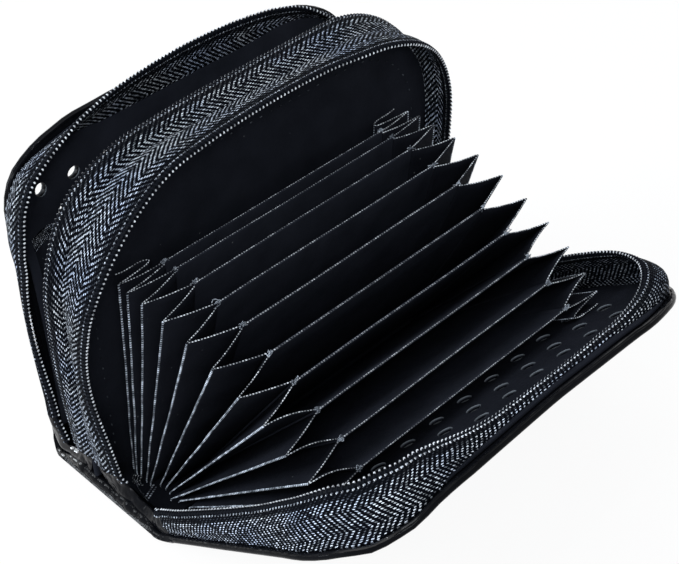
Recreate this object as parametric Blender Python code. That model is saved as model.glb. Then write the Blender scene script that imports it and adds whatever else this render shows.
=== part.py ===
# A pocket card wallet that stands open on its spine.
# Two zipped compartments share one stiff partition. The front one holds a bellows of ten
# dividers between eleven card pockets, and the rear one is a plain slot for notes and coins.
# Both covers fold about the edges of the spine. X runs from the rear cover to the front
# cover, Y along the spine, Z up. The origin is the middle of the spine's underside.

import math

import bpy
from mathutils import Vector
from mathutils.geometry import tessellate_polygon

# Sizes, in metres.

CLEARANCE = 0.0003        # between pieces that touch

# What the pockets hold.
CARD_LENGTH = 0.0856
CARD_HEIGHT = 0.0540
CARD_ROOM = 0.0038        # spare length in a pocket
END_ROOM = 0.0093         # from a bellows tip to the zip tape
TOP_ROOM = 0.0225         # from a divider's top to the zip tape

# Leather and linings.
LEATHER_THICKNESS = 0.0015
LINING_THICKNESS = 0.0006
RIM_OVERHANG = 0.0008     # leather beyond the zip tape
CORNER_RADIUS = 0.0280

# Spine.
SPINE_THICKNESS = 0.0016
SPINE_EDGE_BEVEL = 0.0005
SPINE_LINING_INSET = 0.0012
HINGE_STANDOFF = 0.00135  # from the spine's edge to a cover's fold
HINGE_HEIGHT = 0.0010
COVER_START = 0.0010      # from the fold to a cover's leather
LINING_START = 0.0030     # from the fold to a cover's lining

# Zip tapes and coils.
TAPE_THICKNESS = 0.0008
COIL_WIDTH = 0.0016
TAPE_START = 0.0095       # from the fold to a tape's end
FRONT_TAPE_HEIGHT = 0.0056
FRONT_TAPE_LEAN = 0.0050  # how far its free edge stands in from its sewn edge
FRONT_COIL_HEIGHT = 0.0014
CARD_SIDE_TAPE_HEIGHT = 0.0056
CASH_SIDE_TAPE_HEIGHT = 0.0056
PARTITION_TAPE_FLARE = 0.0030  # how far a free edge stands out from its sewn edge
REAR_TAPE_HEIGHT = 0.0048
REAR_TAPE_FLARE = 0.0020
COIL_HEIGHT = 0.0010
LEAN_START = 0.0040       # upright length at each end of a tape
LEAN_RUN = 0.0140         # length in which the lean comes up to its full

# Partition.
PARTITION_THICKNESS = 0.0020

# Dividers and bellows.
DIVIDER_THICKNESS = 0.0009
DIVIDER_PITCH = 0.00167   # between the feet of neighbouring dividers
DIVIDER_SEAT = 0.0009     # from the spine's lining up to a divider's foot line
FRONT_FOOT_ROOM = 0.0036  # from the front fold to the last divider's foot
PARTITION_FOOT_ROOM = 0.0049
CASH_ROOM = 0.0157        # from the partition to the rear fold
GUSSET_REACH = 0.0114     # from a divider's end to a bellows tip
GUSSET_THICKNESS = 0.00035
GUSSET_PARTING = 0.0001   # from a divider's middle plane to a gusset leaf
GUSSET_TRIM = 0.0004      # gussets stop short of a divider's foot and top
TUCK_REACH = 0.0097       # length of the tucked leaf of the first and last gusset
HEM_REACH = 0.0077        # length of the leaf that is sewn down
TIP_MITRE = 0.0030        # longest fold point past a gusset's middle line

# Side gussets of the rear compartment.
CASH_GUSSET_HEIGHT = 0.0530
CASH_GUSSET_FOOT = 0.0040
CASH_GUSSET_THICKNESS = 0.0006
CASH_GUSSET_INSET = 0.0085  # from a cover's end to the gusset's edge
CASH_GUSSET_TUCK = 0.0045   # how far its fold stands inwards

# Sewn ends of the zips.
ZIP_END_HEIGHT = 0.0058
ZIP_END_MARGIN = 0.0014   # from a zip end to the piece beside it

# Punched holes.
HOLE_RADIUS = 0.0017
HOLE_PITCH = 0.0090
HOLE_ROW_PITCH = 0.0077
FRONT_HOLE_MARGIN = 0.0178  # from the rim to the top row
REAR_HOLE_MARGIN = 0.0152
FRONT_HOLE_SHIFT = 0.0012   # of the rows along the spine
REAR_HOLE_SHIFT = 0.0024
HOLE_END_MARGIN = 0.0125    # least distance from a hole to a cover's end
HOLE_CORNER_MARGIN = 0.0080 # and to the curve of its corner

# Zip sliders and pulls.
SLIDER_WIDTH = 0.0072
SLIDER_DEPTH = 0.0028
SLIDER_HEIGHT = 0.0090
BRIDGE_WIDTH = 0.0020
BRIDGE_WALL = 0.0009
BRIDGE_ROOM = 0.0016      # between the slider's face and its bridge
BRIDGE_HEIGHT = 0.0056
PULL_WIDTH = 0.0062
PULL_TIP_WIDTH = 0.0050
PULL_THICKNESS = 0.0010
PULL_LENGTH = 0.0150      # from the pull's pivot to its tip
PULL_BAR = 0.0010         # half of the bar under the bridge and the rim past it
PULL_EYE_WIDTH = 0.0034
PULL_EYE_LENGTH = 0.0034

# Angles, in degrees, measured up from +X.
FRONT_ANGLE = 37.0
PARTITION_ANGLE = 91.0
REAR_ANGLE = 99.0
DIVIDER_ANGLES = (89.9, 88.0, 83.4, 77.5, 71.2, 64.2, 57.5, 51.2, 44.9, 38.8)
PULL_ANGLE = -34.3        # the pull's slope down from +Y

# Counts.
HOLE_ROWS = 3
HOLE_SIDES = 8
CORNER_STEPS = 8

# Sizes that follow from those above.

DIVIDERS = len(DIVIDER_ANGLES)
TIP_SPAN = CARD_LENGTH + CARD_ROOM
HALF_TIP = TIP_SPAN / 2
HALF_DIVIDER = HALF_TIP - GUSSET_REACH
WALL_INSET = RIM_OVERHANG + TAPE_THICKNESS / 2
COIL_INSET = RIM_OVERHANG + COIL_WIDTH / 2
HALF_LENGTH = HALF_TIP + END_ROOM + TAPE_THICKNESS + RIM_OVERHANG
HINGE_SPAN = FRONT_FOOT_ROOM + DIVIDER_PITCH * (DIVIDERS - 1) + PARTITION_FOOT_ROOM + CASH_ROOM
FRONT_FOLD_X = HINGE_SPAN / 2
REAR_FOLD_X = -FRONT_FOLD_X
PARTITION_X = REAR_FOLD_X + CASH_ROOM
SPINE_HALF_WIDTH = FRONT_FOLD_X - HINGE_STANDOFF
SPINE_FLOOR = SPINE_THICKNESS + CLEARANCE + LINING_THICKNESS
FOOT_HEIGHT = SPINE_FLOOR + DIVIDER_SEAT
COVER_REACH = FOOT_HEIGHT + CARD_HEIGHT + TOP_ROOM + TAPE_THICKNESS + RIM_OVERHANG - HINGE_HEIGHT
HALF_LEATHER = LEATHER_THICKNESS / 2
LINING_LOW = HALF_LEATHER + CLEARANCE
LINING_HIGH = LINING_LOW + LINING_THICKNESS
LINING_EDGE_INSET = RIM_OVERHANG + TAPE_THICKNESS + CLEARANCE
PARTITION_START = SPINE_FLOOR + CLEARANCE
PARTITION_REACH = COVER_REACH + HINGE_HEIGHT
ZIP_END_LOW = SPINE_FLOOR + CLEARANCE
ZIP_END_HIGH = ZIP_END_LOW + ZIP_END_HEIGHT
ZIP_END_OUTER = HALF_LENGTH - RIM_OVERHANG
ZIP_END_INNER = ZIP_END_OUTER - TAPE_THICKNESS


class Leaf:
    """A leaf of the wallet that folds about a line along Y.
    In its own frame x runs from the fold to the free edge, y along the spine, and z up and
    towards the rear."""

    def __init__(self, name, fold_x, fold_z, degrees):
        self.fold = Vector((fold_x, 0, fold_z))
        self.angle = math.radians(degrees)
        self.along = Vector((math.cos(self.angle), 0, math.sin(self.angle)))
        self.normal = Vector((-math.sin(self.angle), 0, math.cos(self.angle)))
        self.empty = bpy.data.objects.new(name, None)
        self.empty.location = self.fold
        self.empty.rotation_euler = (0, -self.angle, 0)
        bpy.context.scene.collection.objects.link(self.empty)

    def place(self, x, y, z):
        """The wallet's coordinates of a point in this leaf."""
        return self.fold + self.along * x + self.normal * z + Vector((0, y, 0))

    def inside(self, point):
        """This leaf's coordinates of a point of the wallet."""
        away = point - self.fold
        return (away.dot(self.along), away.y, away.dot(self.normal))


def material(name, colour, roughness, metallic=0.0):
    """A plain Principled material."""
    made = bpy.data.materials.new(name)
    made.use_nodes = True
    shader = made.node_tree.nodes["Principled BSDF"]
    shader.inputs["Base Color"].default_value = (*colour, 1.0)
    shader.inputs["Roughness"].default_value = roughness
    shader.inputs["Metallic"].default_value = metallic
    made.diffuse_color = (*colour, 1.0)
    return made


LEATHER = ((0.012, 0.012, 0.014), 0.28)
LINING = ((0.010, 0.010, 0.013), 0.85)
TAPE = ((0.045, 0.052, 0.068), 0.75)
COIL = ((0.030, 0.033, 0.040), 0.45)
METAL = ((0.060, 0.062, 0.068), 0.30, 1.0)


def solid(name, points, faces, look, parent=None, smooth_degrees=None):
    """One closed solid from its points and faces, under its leaf's empty."""
    mesh = bpy.data.meshes.new(name)
    mesh.from_pydata([tuple(p) for p in points], [], faces)
    mesh.validate()
    mesh.update()
    made = bpy.data.objects.new(name, mesh)
    bpy.context.scene.collection.objects.link(made)
    mesh.materials.append(material(name + "_material", *look))
    if parent is not None:
        made.parent = parent.empty
    if smooth_degrees is not None:
        mesh.shade_smooth()
        mesh.set_sharp_from_angle(angle=math.radians(smooth_degrees))
    return made


def plate(name, outline, low, high, look, parent=None, holes=()):
    """A flat plate between two heights, from an outline run anticlockwise seen from above,
    with straight holes through it."""
    loops = [list(outline)] + [list(reversed(hole)) for hole in holes]
    flat = [point for loop in loops for point in loop]
    count = len(flat)
    points = [(x, y, low) for x, y in flat] + [(x, y, high) for x, y in flat]
    faces = []
    for a, b, c in tessellate_polygon([[Vector((x, y, 0)) for x, y in loop] for loop in loops]):
        (ax, ay), (bx, by), (cx, cy) = flat[a], flat[b], flat[c]
        if (bx - ax) * (cy - ay) - (by - ay) * (cx - ax) < 0:
            b, c = c, b
        faces.append((a, c, b))
        faces.append((a + count, b + count, c + count))
    first = 0
    for loop in loops:
        size = len(loop)
        for k in range(size):
            a, b = first + k, first + (k + 1) % size
            faces.append((a, b, b + count, a + count))
        first += size
    return solid(name, points, faces, look, parent)


def box_outline(low_x, high_x, low_y, high_y):
    return [(low_x, low_y), (high_x, low_y), (high_x, high_y), (low_x, high_y)]


def rim_path(start, reach, half, radius):
    """The line of a panel's three free sides, from its near end round to its far end."""
    path = [(start, -half)]
    for k in range(CORNER_STEPS + 1):
        turn = math.pi / 2 * k / CORNER_STEPS
        path.append((reach - radius + radius * math.sin(turn),
                     -half + radius - radius * math.cos(turn)))
    for k in range(CORNER_STEPS + 1):
        turn = math.pi / 2 * k / CORNER_STEPS
        path.append((reach - radius + radius * math.cos(turn),
                     half - radius + radius * math.sin(turn)))
    path.append((start, half))
    return path


def panel_outline(start, inset):
    """A cover's outline, drawn in from the rim on its three free sides."""
    return rim_path(start, COVER_REACH - inset, HALF_LENGTH - inset, CORNER_RADIUS - inset)


def side_path(reach, inset):
    """The line of a zip round three sides, drawn in from the rim, with points where its
    lean starts and where it is full."""
    half = HALF_LENGTH - inset
    path = rim_path(TAPE_START, reach - inset, half, CORNER_RADIUS - inset)
    starts = [TAPE_START + LEAN_START, TAPE_START + LEAN_START + LEAN_RUN]
    return (path[:1] + [(x, -half) for x in starts] + path[1:-1]
            + [(x, half) for x in reversed(starts)] + path[-1:])


def offset_path(path, distance):
    """The line at a distance to the left of an open line, square to it at its ends."""
    moved = []
    for k, (x, y) in enumerate(path):
        before = path[k - 1] if k else path[0]
        after = path[k + 1] if k + 1 < len(path) else path[-1]
        turns = []
        for (ax, ay), (bx, by) in ((before, (x, y)), ((x, y), after)):
            length = math.hypot(bx - ax, by - ay)
            if length:
                turns.append((-(by - ay) / length, (bx - ax) / length))
        nx = sum(t[0] for t in turns) / len(turns)
        ny = sum(t[1] for t in turns) / len(turns)
        square = nx * nx + ny * ny
        moved.append((x + nx / square * distance, y + ny / square * distance))
    return moved


def leaned_path(path, lean):
    """The line moved to its left by the lean, which comes in over the ends of a zip."""
    moved = offset_path(path, lean)
    return path[:2] + moved[2:-2] + path[-2:]


def band(name, path, high_path, thickness, low, high, look, parent):
    """A strip that stands on edge along an open line. high_path is its upper edge's line,
    so that the strip may lean."""
    outlines = []
    for line in (path, high_path):
        outer, inner = offset_path(line, -thickness / 2), offset_path(line, thickness / 2)
        outlines.append(outer + list(reversed(inner)))
    count, total = len(path), 2 * len(path)
    points = [(x, y, low) for x, y in outlines[0]] + [(x, y, high) for x, y in outlines[1]]
    faces = []
    for k in range(count - 1):
        a, b, c, d = k, k + 1, total - 2 - k, total - 1 - k
        faces.append((a, d, c, b))
        faces.append((a + total, b + total, c + total, d + total))
    # As in a folded strip, both sides split along the same diagonal.
    for k in range(total):
        a, b = k, (k + 1) % total
        if k < count:
            faces += [(a, b, b + total), (a, b + total, a + total)]
        else:
            faces += [(a, b, a + total), (b, b + total, a + total)]
    return solid(name, points, faces, look, parent, smooth_degrees=30)


def zip_side(name, reach, lean, low, height, coil_height, upward, leaf):
    """A zip tape along a leaf's three free sides and the coil on its free edge.
    low is the tape's sewn edge above the leaf's middle, height the tape's own, and upward
    is 1 or -1, the side of the leaf on which it stands."""
    tape_path = side_path(reach, WALL_INSET)
    coil_path = side_path(reach, COIL_INSET)
    coil_path = leaned_path(coil_path, lean)
    top = low + height
    coil_low = top + CLEARANCE

    def rising(near, far):
        return (near, far) if upward > 0 else (-far, -near)

    lines = [tape_path, leaned_path(tape_path, lean)]
    if upward < 0:
        lines.reverse()
    band(name + "_zip_tape", *lines, TAPE_THICKNESS, *rising(low, top), TAPE, leaf)
    band(name + "_zip_coil", coil_path, coil_path, COIL_WIDTH,
         *rising(coil_low, coil_low + coil_height), COIL, leaf)


def ring_hole(x, y):
    """A punched hole's outline, run anticlockwise."""
    return [(x + HOLE_RADIUS * math.cos(2 * math.pi * k / HOLE_SIDES),
             y + HOLE_RADIUS * math.sin(2 * math.pi * k / HOLE_SIDES)) for k in range(HOLE_SIDES)]


def cover_holes(top_margin, shift):
    """Three staggered rows of holes near a cover's rim."""
    holes = []
    for row in range(HOLE_ROWS):
        x = COVER_REACH - top_margin - HOLE_ROW_PITCH * row
        stagger = shift - HOLE_PITCH / 2 if row % 2 else shift
        most = int(HALF_LENGTH / HOLE_PITCH) + 1
        for k in range(-most, most + 1):
            y = stagger + HOLE_PITCH * k
            edge_x = max(0, x - (COVER_REACH - CORNER_RADIUS))
            edge_y = max(0, abs(y) - (HALF_LENGTH - CORNER_RADIUS))
            if (abs(y) < HALF_LENGTH - HOLE_END_MARGIN
                    and math.hypot(edge_x, edge_y) < CORNER_RADIUS - HOLE_CORNER_MARGIN):
                holes.append(ring_hole(x, y))
    return holes


def loft(name, low_outline, high_outline, quads, look, parent):
    """A folded strip between two outlines of the wallet's own points, given in the leaf's
    frame. quads fill each outline, by the outline's own point numbers."""
    count = len(low_outline)
    points = [parent.inside(p) if parent else tuple(p) for p in low_outline + high_outline]
    faces = [tuple(reversed(q)) for q in quads]
    faces += [tuple(k + count for k in q) for q in quads]
    # Both faces of the strip split along the same diagonal, which keeps a twisted strip's
    # thickness: the outline runs out along one face and back along the other.
    for k in range(count):
        a, b = k, (k + 1) % count
        if k < count // 2:
            faces += [(a, b, b + count), (a, b + count, a + count)]
        else:
            faces += [(a, b, a + count), (b, b + count, a + count)]
    return solid(name, points, faces, look, parent)


def ribbon(line, thickness, mitre):
    """The outline of a thin folded strip from the middle line of its section.
    line holds (along, across) pairs, and a fold's point stands out by mitre at most."""
    sides = ([], [])
    for k, (x, y) in enumerate(line):
        normals = []
        if k:
            ax, ay = line[k - 1]
            length = math.hypot(x - ax, y - ay)
            normals.append((-(y - ay) / length, (x - ax) / length))
        if k + 1 < len(line):
            bx, by = line[k + 1]
            length = math.hypot(bx - x, by - y)
            normals.append((-(by - y) / length, (bx - x) / length))
        nx = sum(n[0] for n in normals)
        ny = sum(n[1] for n in normals)
        size = math.hypot(nx, ny)
        nx, ny = nx / size, ny / size
        share = nx * normals[0][0] + ny * normals[0][1]
        reach = min(thickness / 2 / share, mitre)
        sides[0].append((x + nx * reach, y + ny * reach))
        sides[1].append((x - nx * reach, y - ny * reach))
    return sides[0] + list(reversed(sides[1]))


def strip_quads(count):
    """The quads that fill a ribbon's outline."""
    return [(k, k + 1, 2 * count - 2 - k, 2 * count - 1 - k) for k in range(count - 1)]


def bellows(name, parent, rear, front, side, low, high, line_shares):
    """A folded gusset between two leaves, at the near end (side -1) or the far end (1).
    rear and front give the wallet's point on each leaf at a height along it. line_shares
    holds, for each fold, its reach out from the dividers' ends and its share of the way
    from the rear leaf to the front one."""
    outlines = []
    for level in (low, high):
        back, fore = rear(level), front(level)
        across = (fore - back).length
        line = [(reach, share * across) for reach, share in line_shares]
        outline = ribbon(line, GUSSET_THICKNESS, TIP_MITRE)
        direction = (fore - back).normalized()
        outlines.append([back + direction * y + Vector((0, side * (HALF_DIVIDER + x), 0))
                         for x, y in outline])
    quads = strip_quads(len(line_shares))
    if side < 0:
        outlines = [list(reversed(o)) for o in outlines]
        total = len(outlines[0])
        quads = [tuple(reversed([total - 1 - k for k in q])) for q in quads]
    return loft(name, outlines[0], outlines[1], quads, LINING, parent)


def clear_scene():
    for old in list(bpy.data.objects):
        bpy.data.objects.remove(old, do_unlink=True)


def build_spine():
    """The leather spine and the strip that lines it."""
    half, bevel = SPINE_HALF_WIDTH, SPINE_EDGE_BEVEL
    section = [(-half + bevel, 0), (half - bevel, 0), (half, bevel), (half, SPINE_THICKNESS - bevel),
               (half - bevel, SPINE_THICKNESS), (-half + bevel, SPINE_THICKNESS),
               (-half, SPINE_THICKNESS - bevel), (-half, bevel)]
    near = [Vector((x, -HALF_LENGTH, z)) for x, z in section]
    far = [Vector((x, HALF_LENGTH, z)) for x, z in section]
    count = len(section)
    faces = [tuple(range(count)), tuple(reversed(range(count, 2 * count)))]
    for k in range(count):
        a, b = k, (k + 1) % count
        faces.append((a, a + count, b + count, b))
    solid("spine_leather", near + far, faces, LEATHER)
    inner = half - SPINE_LINING_INSET
    end = ZIP_END_OUTER
    plate("spine_lining", box_outline(-inner, inner, -end, end),
          SPINE_THICKNESS + CLEARANCE, SPINE_FLOOR, LINING)


def build_cover(name, leaf, inward, holes, zip_sizes):
    """A leather cover with its lining, zip tape and zip coil.
    inward is 1 where the leaf's z axis points into the wallet and -1 where it points out.
    zip_sizes are the tape's lean and height and the coil's height."""

    def span(low, high):
        return (low, high) if inward > 0 else (-high, -low)

    plate(name + "_leather", panel_outline(COVER_START, 0), -HALF_LEATHER, HALF_LEATHER,
          LEATHER, leaf, holes)
    lean, tape_height, coil_height = zip_sizes
    # A tape that leans in stands over the lining's edge, which stops short of it.
    lining_inset = LINING_EDGE_INSET + max(0, lean) * LINING_THICKNESS / tape_height
    plate(name + "_lining", panel_outline(LINING_START, lining_inset),
          *span(LINING_LOW, LINING_HIGH), LINING, leaf, holes)
    zip_side(name, COVER_REACH, lean, LINING_LOW, tape_height, coil_height, inward, leaf)


def build_partition(leaf):
    """The stiff middle panel with a zip tape and coil on each side of its edge."""
    reach = PARTITION_REACH - LINING_EDGE_INSET
    half = HALF_LENGTH - LINING_EDGE_INSET
    plate("partition_panel", rim_path(PARTITION_START, reach, half, CORNER_RADIUS - LINING_EDGE_INSET),
          -PARTITION_THICKNESS / 2, PARTITION_THICKNESS / 2, LINING, leaf)
    seam = CLEARANCE / 2
    zip_side("partition_card", PARTITION_REACH, -PARTITION_TAPE_FLARE, seam,
             CARD_SIDE_TAPE_HEIGHT, COIL_HEIGHT, -1, leaf)
    zip_side("partition_cash", PARTITION_REACH, -PARTITION_TAPE_FLARE, seam,
             CASH_SIDE_TAPE_HEIGHT, COIL_HEIGHT, 1, leaf)


def build_dividers(partition, front):
    """The ten dividers and the eleven gussets at each of their ends."""
    leaves = []
    for k, degrees in enumerate(DIVIDER_ANGLES):
        foot_x = FRONT_FOLD_X - FRONT_FOOT_ROOM - DIVIDER_PITCH * (DIVIDERS - 1 - k)
        leaf = Leaf(f"divider_{k + 1:02d}_fold", foot_x, FOOT_HEIGHT, degrees)
        plate(f"divider_{k + 1:02d}", box_outline(0, CARD_HEIGHT, -HALF_DIVIDER, HALF_DIVIDER),
              -DIVIDER_THICKNESS / 2, DIVIDER_THICKNESS / 2, LINING, leaf)
        leaves.append(leaf)

    low, high = GUSSET_TRIM, CARD_HEIGHT - GUSSET_TRIM
    leaf_middle = GUSSET_PARTING + GUSSET_THICKNESS / 2
    end = CLEARANCE
    fold = GUSSET_REACH
    panel_face = PARTITION_THICKNESS / 2 + CLEARANCE + GUSSET_THICKNESS / 2
    lining_face = LINING_HIGH + CLEARANCE + GUSSET_THICKNESS / 2

    def on(leaf, offset):
        return lambda height: leaf.place(height, 0, offset)

    def beside(leaf, offset, other):
        # The point of a cover or the partition that faces a height on a divider.
        def at(height):
            along = (other.place(height, 0, 0) - leaf.fold).dot(leaf.along)
            return leaf.place(along, 0, offset)
        return at

    plain = ((end, 0), (fold, 1 / 2), (end, 1))
    tucked = fold - TUCK_REACH
    hemmed = tucked + HEM_REACH
    first = ((hemmed, 0), (tucked, FIRST_SHARES[0]), (fold, FIRST_SHARES[1]), (end, 1))
    last = ((end, 0), (fold, 1 - FIRST_SHARES[1]), (tucked, 1 - FIRST_SHARES[0]), (hemmed, 1))
    for side, word in ((-1, "near"), (1, "far")):
        bellows(f"gusset_{word}_00", leaves[0], beside(partition, -panel_face, leaves[0]),
                on(leaves[0], leaf_middle), side, low, high, first)
        for k in range(1, DIVIDERS):
            bellows(f"gusset_{word}_{k:02d}", leaves[k], on(leaves[k - 1], -leaf_middle),
                    on(leaves[k], leaf_middle), side, low, high, plain)
        bellows(f"gusset_{word}_{DIVIDERS:02d}", front, on(leaves[-1], -leaf_middle),
                beside(front, lining_face, leaves[-1]), side, low, high, last)


# Where the folds of the first gusset lie, as shares of the way from the partition.
FIRST_SHARES = (0.22, 0.62)


def build_cash_gussets(partition, rear):
    """The folded cloth that closes each end of the rear compartment."""
    rear_face = LINING_HIGH + CLEARANCE
    panel_face = PARTITION_THICKNESS / 2 + CLEARANCE
    edge = HALF_LENGTH - CASH_GUSSET_INSET
    for side, word in ((-1, "near"), (1, "far")):
        outlines = []
        for height in (CASH_GUSSET_FOOT, CASH_GUSSET_HEIGHT):
            back = rear.place(height, 0, -rear_face)
            fore = partition.place(height + HINGE_HEIGHT, 0, panel_face)
            across = (fore - back).length
            line = [(0, 0), (CASH_GUSSET_TUCK, across / 2), (0, across)]
            outline = ribbon(line, CASH_GUSSET_THICKNESS, TIP_MITRE)
            direction = (fore - back).normalized()
            least = min(y for x, y in outline)
            most = max(y for x, y in outline)
            trim = (across - CLEARANCE) / (most - least)
            outlines.append([back + direction * ((y - least) * trim + CLEARANCE / 2)
                             + Vector((0, side * (edge - x), 0)) for x, y in outline])
        quads = strip_quads(3)
        if side > 0:
            total = len(outlines[0])
            outlines = [list(reversed(o)) for o in outlines]
            quads = [tuple(reversed([total - 1 - k for k in q])) for q in quads]
        loft(f"cash_gusset_{word}", outlines[0], outlines[1], quads, LINING, rear)


def build_zip_ends():
    """The sewn end of each zip, a small upright patch at each end of the spine."""
    panel_front = PARTITION_X + PARTITION_THICKNESS / 2 + CLEARANCE
    panel_back = PARTITION_X - PARTITION_THICKNESS / 2 - ZIP_END_MARGIN
    spans = (("card", panel_front, FRONT_FOLD_X - COVER_START - ZIP_END_MARGIN),
             ("cash", REAR_FOLD_X + LINING_START, panel_back))
    for word, low_x, high_x in spans:
        for side, place in ((-1, "near"), (1, "far")):
            low_y, high_y = sorted((side * ZIP_END_INNER, side * ZIP_END_OUTER))
            plate(f"{word}_zip_end_{place}", box_outline(low_x, high_x, low_y, high_y),
                  ZIP_END_LOW, ZIP_END_HIGH, TAPE)


def build_slider(word, middle_x):
    """A zip slider with its bridge, and the pull that hangs in it."""
    face_low = ZIP_END_OUTER + CLEARANCE
    face_high = face_low + SLIDER_DEPTH
    low_z = ZIP_END_LOW
    high_z = low_z + SLIDER_HEIGHT
    bridge_high = high_z - BRIDGE_WALL
    bridge_low = bridge_high - BRIDGE_HEIGHT
    outside = face_high + BRIDGE_ROOM + BRIDGE_WALL
    wide, thin = SLIDER_WIDTH / 2, BRIDGE_WIDTH / 2
    # The bridge's section, seen along X, and the slider's body as three stacked blocks that
    # share the bridge's heights, so that the whole slider is one closed mesh.
    heights = [low_z, bridge_low, bridge_low + BRIDGE_WALL, bridge_high - BRIDGE_WALL,
               bridge_high, high_z]
    across = [-wide, -thin, thin, wide]
    depths = [face_low, face_high, face_high + BRIDGE_ROOM, outside]

    def filled(i, j, k):
        if j == 0:
            return True
        if i != 1:
            return False
        if j == 1:
            return k in (1, 3)
        return k in (1, 2, 3)

    points, numbers, faces = [], {}, []

    def number(i, j, k):
        key = (i, j, k)
        if key not in numbers:
            numbers[key] = len(points)
            points.append((middle_x + across[i], depths[j], heights[k]))
        return numbers[key]

    cells = {(i, j, k) for i in range(3) for j in range(3) for k in range(5) if filled(i, j, k)}
    sides = (((-1, 0, 0), ((0, 0, 0), (0, 0, 1), (0, 1, 1), (0, 1, 0))),
             ((1, 0, 0), ((1, 0, 0), (1, 1, 0), (1, 1, 1), (1, 0, 1))),
             ((0, -1, 0), ((0, 0, 0), (1, 0, 0), (1, 0, 1), (0, 0, 1))),
             ((0, 1, 0), ((0, 1, 0), (0, 1, 1), (1, 1, 1), (1, 1, 0))),
             ((0, 0, -1), ((0, 0, 0), (0, 1, 0), (1, 1, 0), (1, 0, 0))),
             ((0, 0, 1), ((0, 0, 1), (1, 0, 1), (1, 1, 1), (0, 1, 1))))
    for i, j, k in sorted(cells):
        for (di, dj, dk), corners in sides:
            if (i + di, j + dj, k + dk) not in cells:
                faces.append([number(i + a, j + b, k + c) for a, b, c in corners])
    solid(f"{word}_zip_slider", points, faces, METAL)

    # The pull lies from its pivot under the bridge down to the surface the wallet stands on.
    pivot_y = face_high + BRIDGE_ROOM / 2
    pivot_z = bridge_high - BRIDGE_WALL - PULL_BAR / 2 - CLEARANCE
    empty = bpy.data.objects.new(f"{word}_zip_pull_pivot", None)
    empty.location = (middle_x, pivot_y, pivot_z)
    empty.rotation_euler = (math.radians(PULL_ANGLE), 0, 0)
    bpy.context.scene.collection.objects.link(empty)
    half_bar = PULL_BAR / 2
    eye_low = half_bar
    eye_high = half_bar + PULL_EYE_LENGTH
    tip = PULL_TIP_WIDTH / 2
    edge = PULL_WIDTH / 2
    outline = [(-edge, -half_bar), (edge, -half_bar), (edge, eye_high + PULL_BAR),
               (tip, PULL_LENGTH - tip)]
    for k in range(1, CORNER_STEPS):
        turn = math.pi * k / CORNER_STEPS
        outline.append((tip * math.cos(turn), PULL_LENGTH - tip + tip * math.sin(turn)))
    outline += [(-tip, PULL_LENGTH - tip), (-edge, eye_high + PULL_BAR)]
    eye = box_outline(-PULL_EYE_WIDTH / 2, PULL_EYE_WIDTH / 2, eye_low, eye_high)
    pull = plate(f"{word}_zip_pull", outline, -PULL_THICKNESS / 2, PULL_THICKNESS / 2,
                 METAL, None, [eye])
    pull.parent = empty


def main():
    clear_scene()
    front = Leaf("front_cover_fold", FRONT_FOLD_X, HINGE_HEIGHT, FRONT_ANGLE)
    rear = Leaf("rear_cover_fold", REAR_FOLD_X, HINGE_HEIGHT, REAR_ANGLE)
    partition = Leaf("partition_foot", PARTITION_X, 0, PARTITION_ANGLE)
    build_spine()
    build_partition(partition)
    build_cover("front_cover", front, 1, cover_holes(FRONT_HOLE_MARGIN, FRONT_HOLE_SHIFT),
                (FRONT_TAPE_LEAN, FRONT_TAPE_HEIGHT, FRONT_COIL_HEIGHT))
    build_cover("rear_cover", rear, -1, cover_holes(REAR_HOLE_MARGIN, REAR_HOLE_SHIFT),
                (-REAR_TAPE_FLARE, REAR_TAPE_HEIGHT, COIL_HEIGHT))
    build_dividers(partition, front)
    build_cash_gussets(partition, rear)
    build_zip_ends()
    build_slider("card", (PARTITION_X + FRONT_FOLD_X) / 2)
    build_slider("cash", (PARTITION_X + REAR_FOLD_X) / 2)


main()
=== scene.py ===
"""The looks of an open zip-round card wallet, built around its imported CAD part."""

import math

import bmesh
import bpy
import numpy as np
from mathutils import Matrix, Vector
from mathutils.geometry import delaunay_2d_cdt


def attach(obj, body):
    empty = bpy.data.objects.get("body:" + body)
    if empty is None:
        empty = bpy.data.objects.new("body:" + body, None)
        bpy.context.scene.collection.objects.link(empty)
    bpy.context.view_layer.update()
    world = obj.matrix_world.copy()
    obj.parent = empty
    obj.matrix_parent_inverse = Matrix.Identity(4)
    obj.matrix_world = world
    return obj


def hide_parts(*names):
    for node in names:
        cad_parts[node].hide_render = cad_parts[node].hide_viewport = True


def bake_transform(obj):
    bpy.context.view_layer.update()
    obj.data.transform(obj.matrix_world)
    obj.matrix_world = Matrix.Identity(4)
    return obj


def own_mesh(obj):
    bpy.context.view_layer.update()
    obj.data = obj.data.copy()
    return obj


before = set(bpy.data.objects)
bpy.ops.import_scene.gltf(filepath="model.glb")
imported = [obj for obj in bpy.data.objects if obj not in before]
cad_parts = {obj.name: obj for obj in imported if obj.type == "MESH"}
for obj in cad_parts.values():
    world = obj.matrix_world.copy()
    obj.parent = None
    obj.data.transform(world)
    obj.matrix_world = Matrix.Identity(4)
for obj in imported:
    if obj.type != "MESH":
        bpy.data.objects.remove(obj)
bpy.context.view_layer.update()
ROOT = "spine_and_partition"
MM = 0.001

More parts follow.
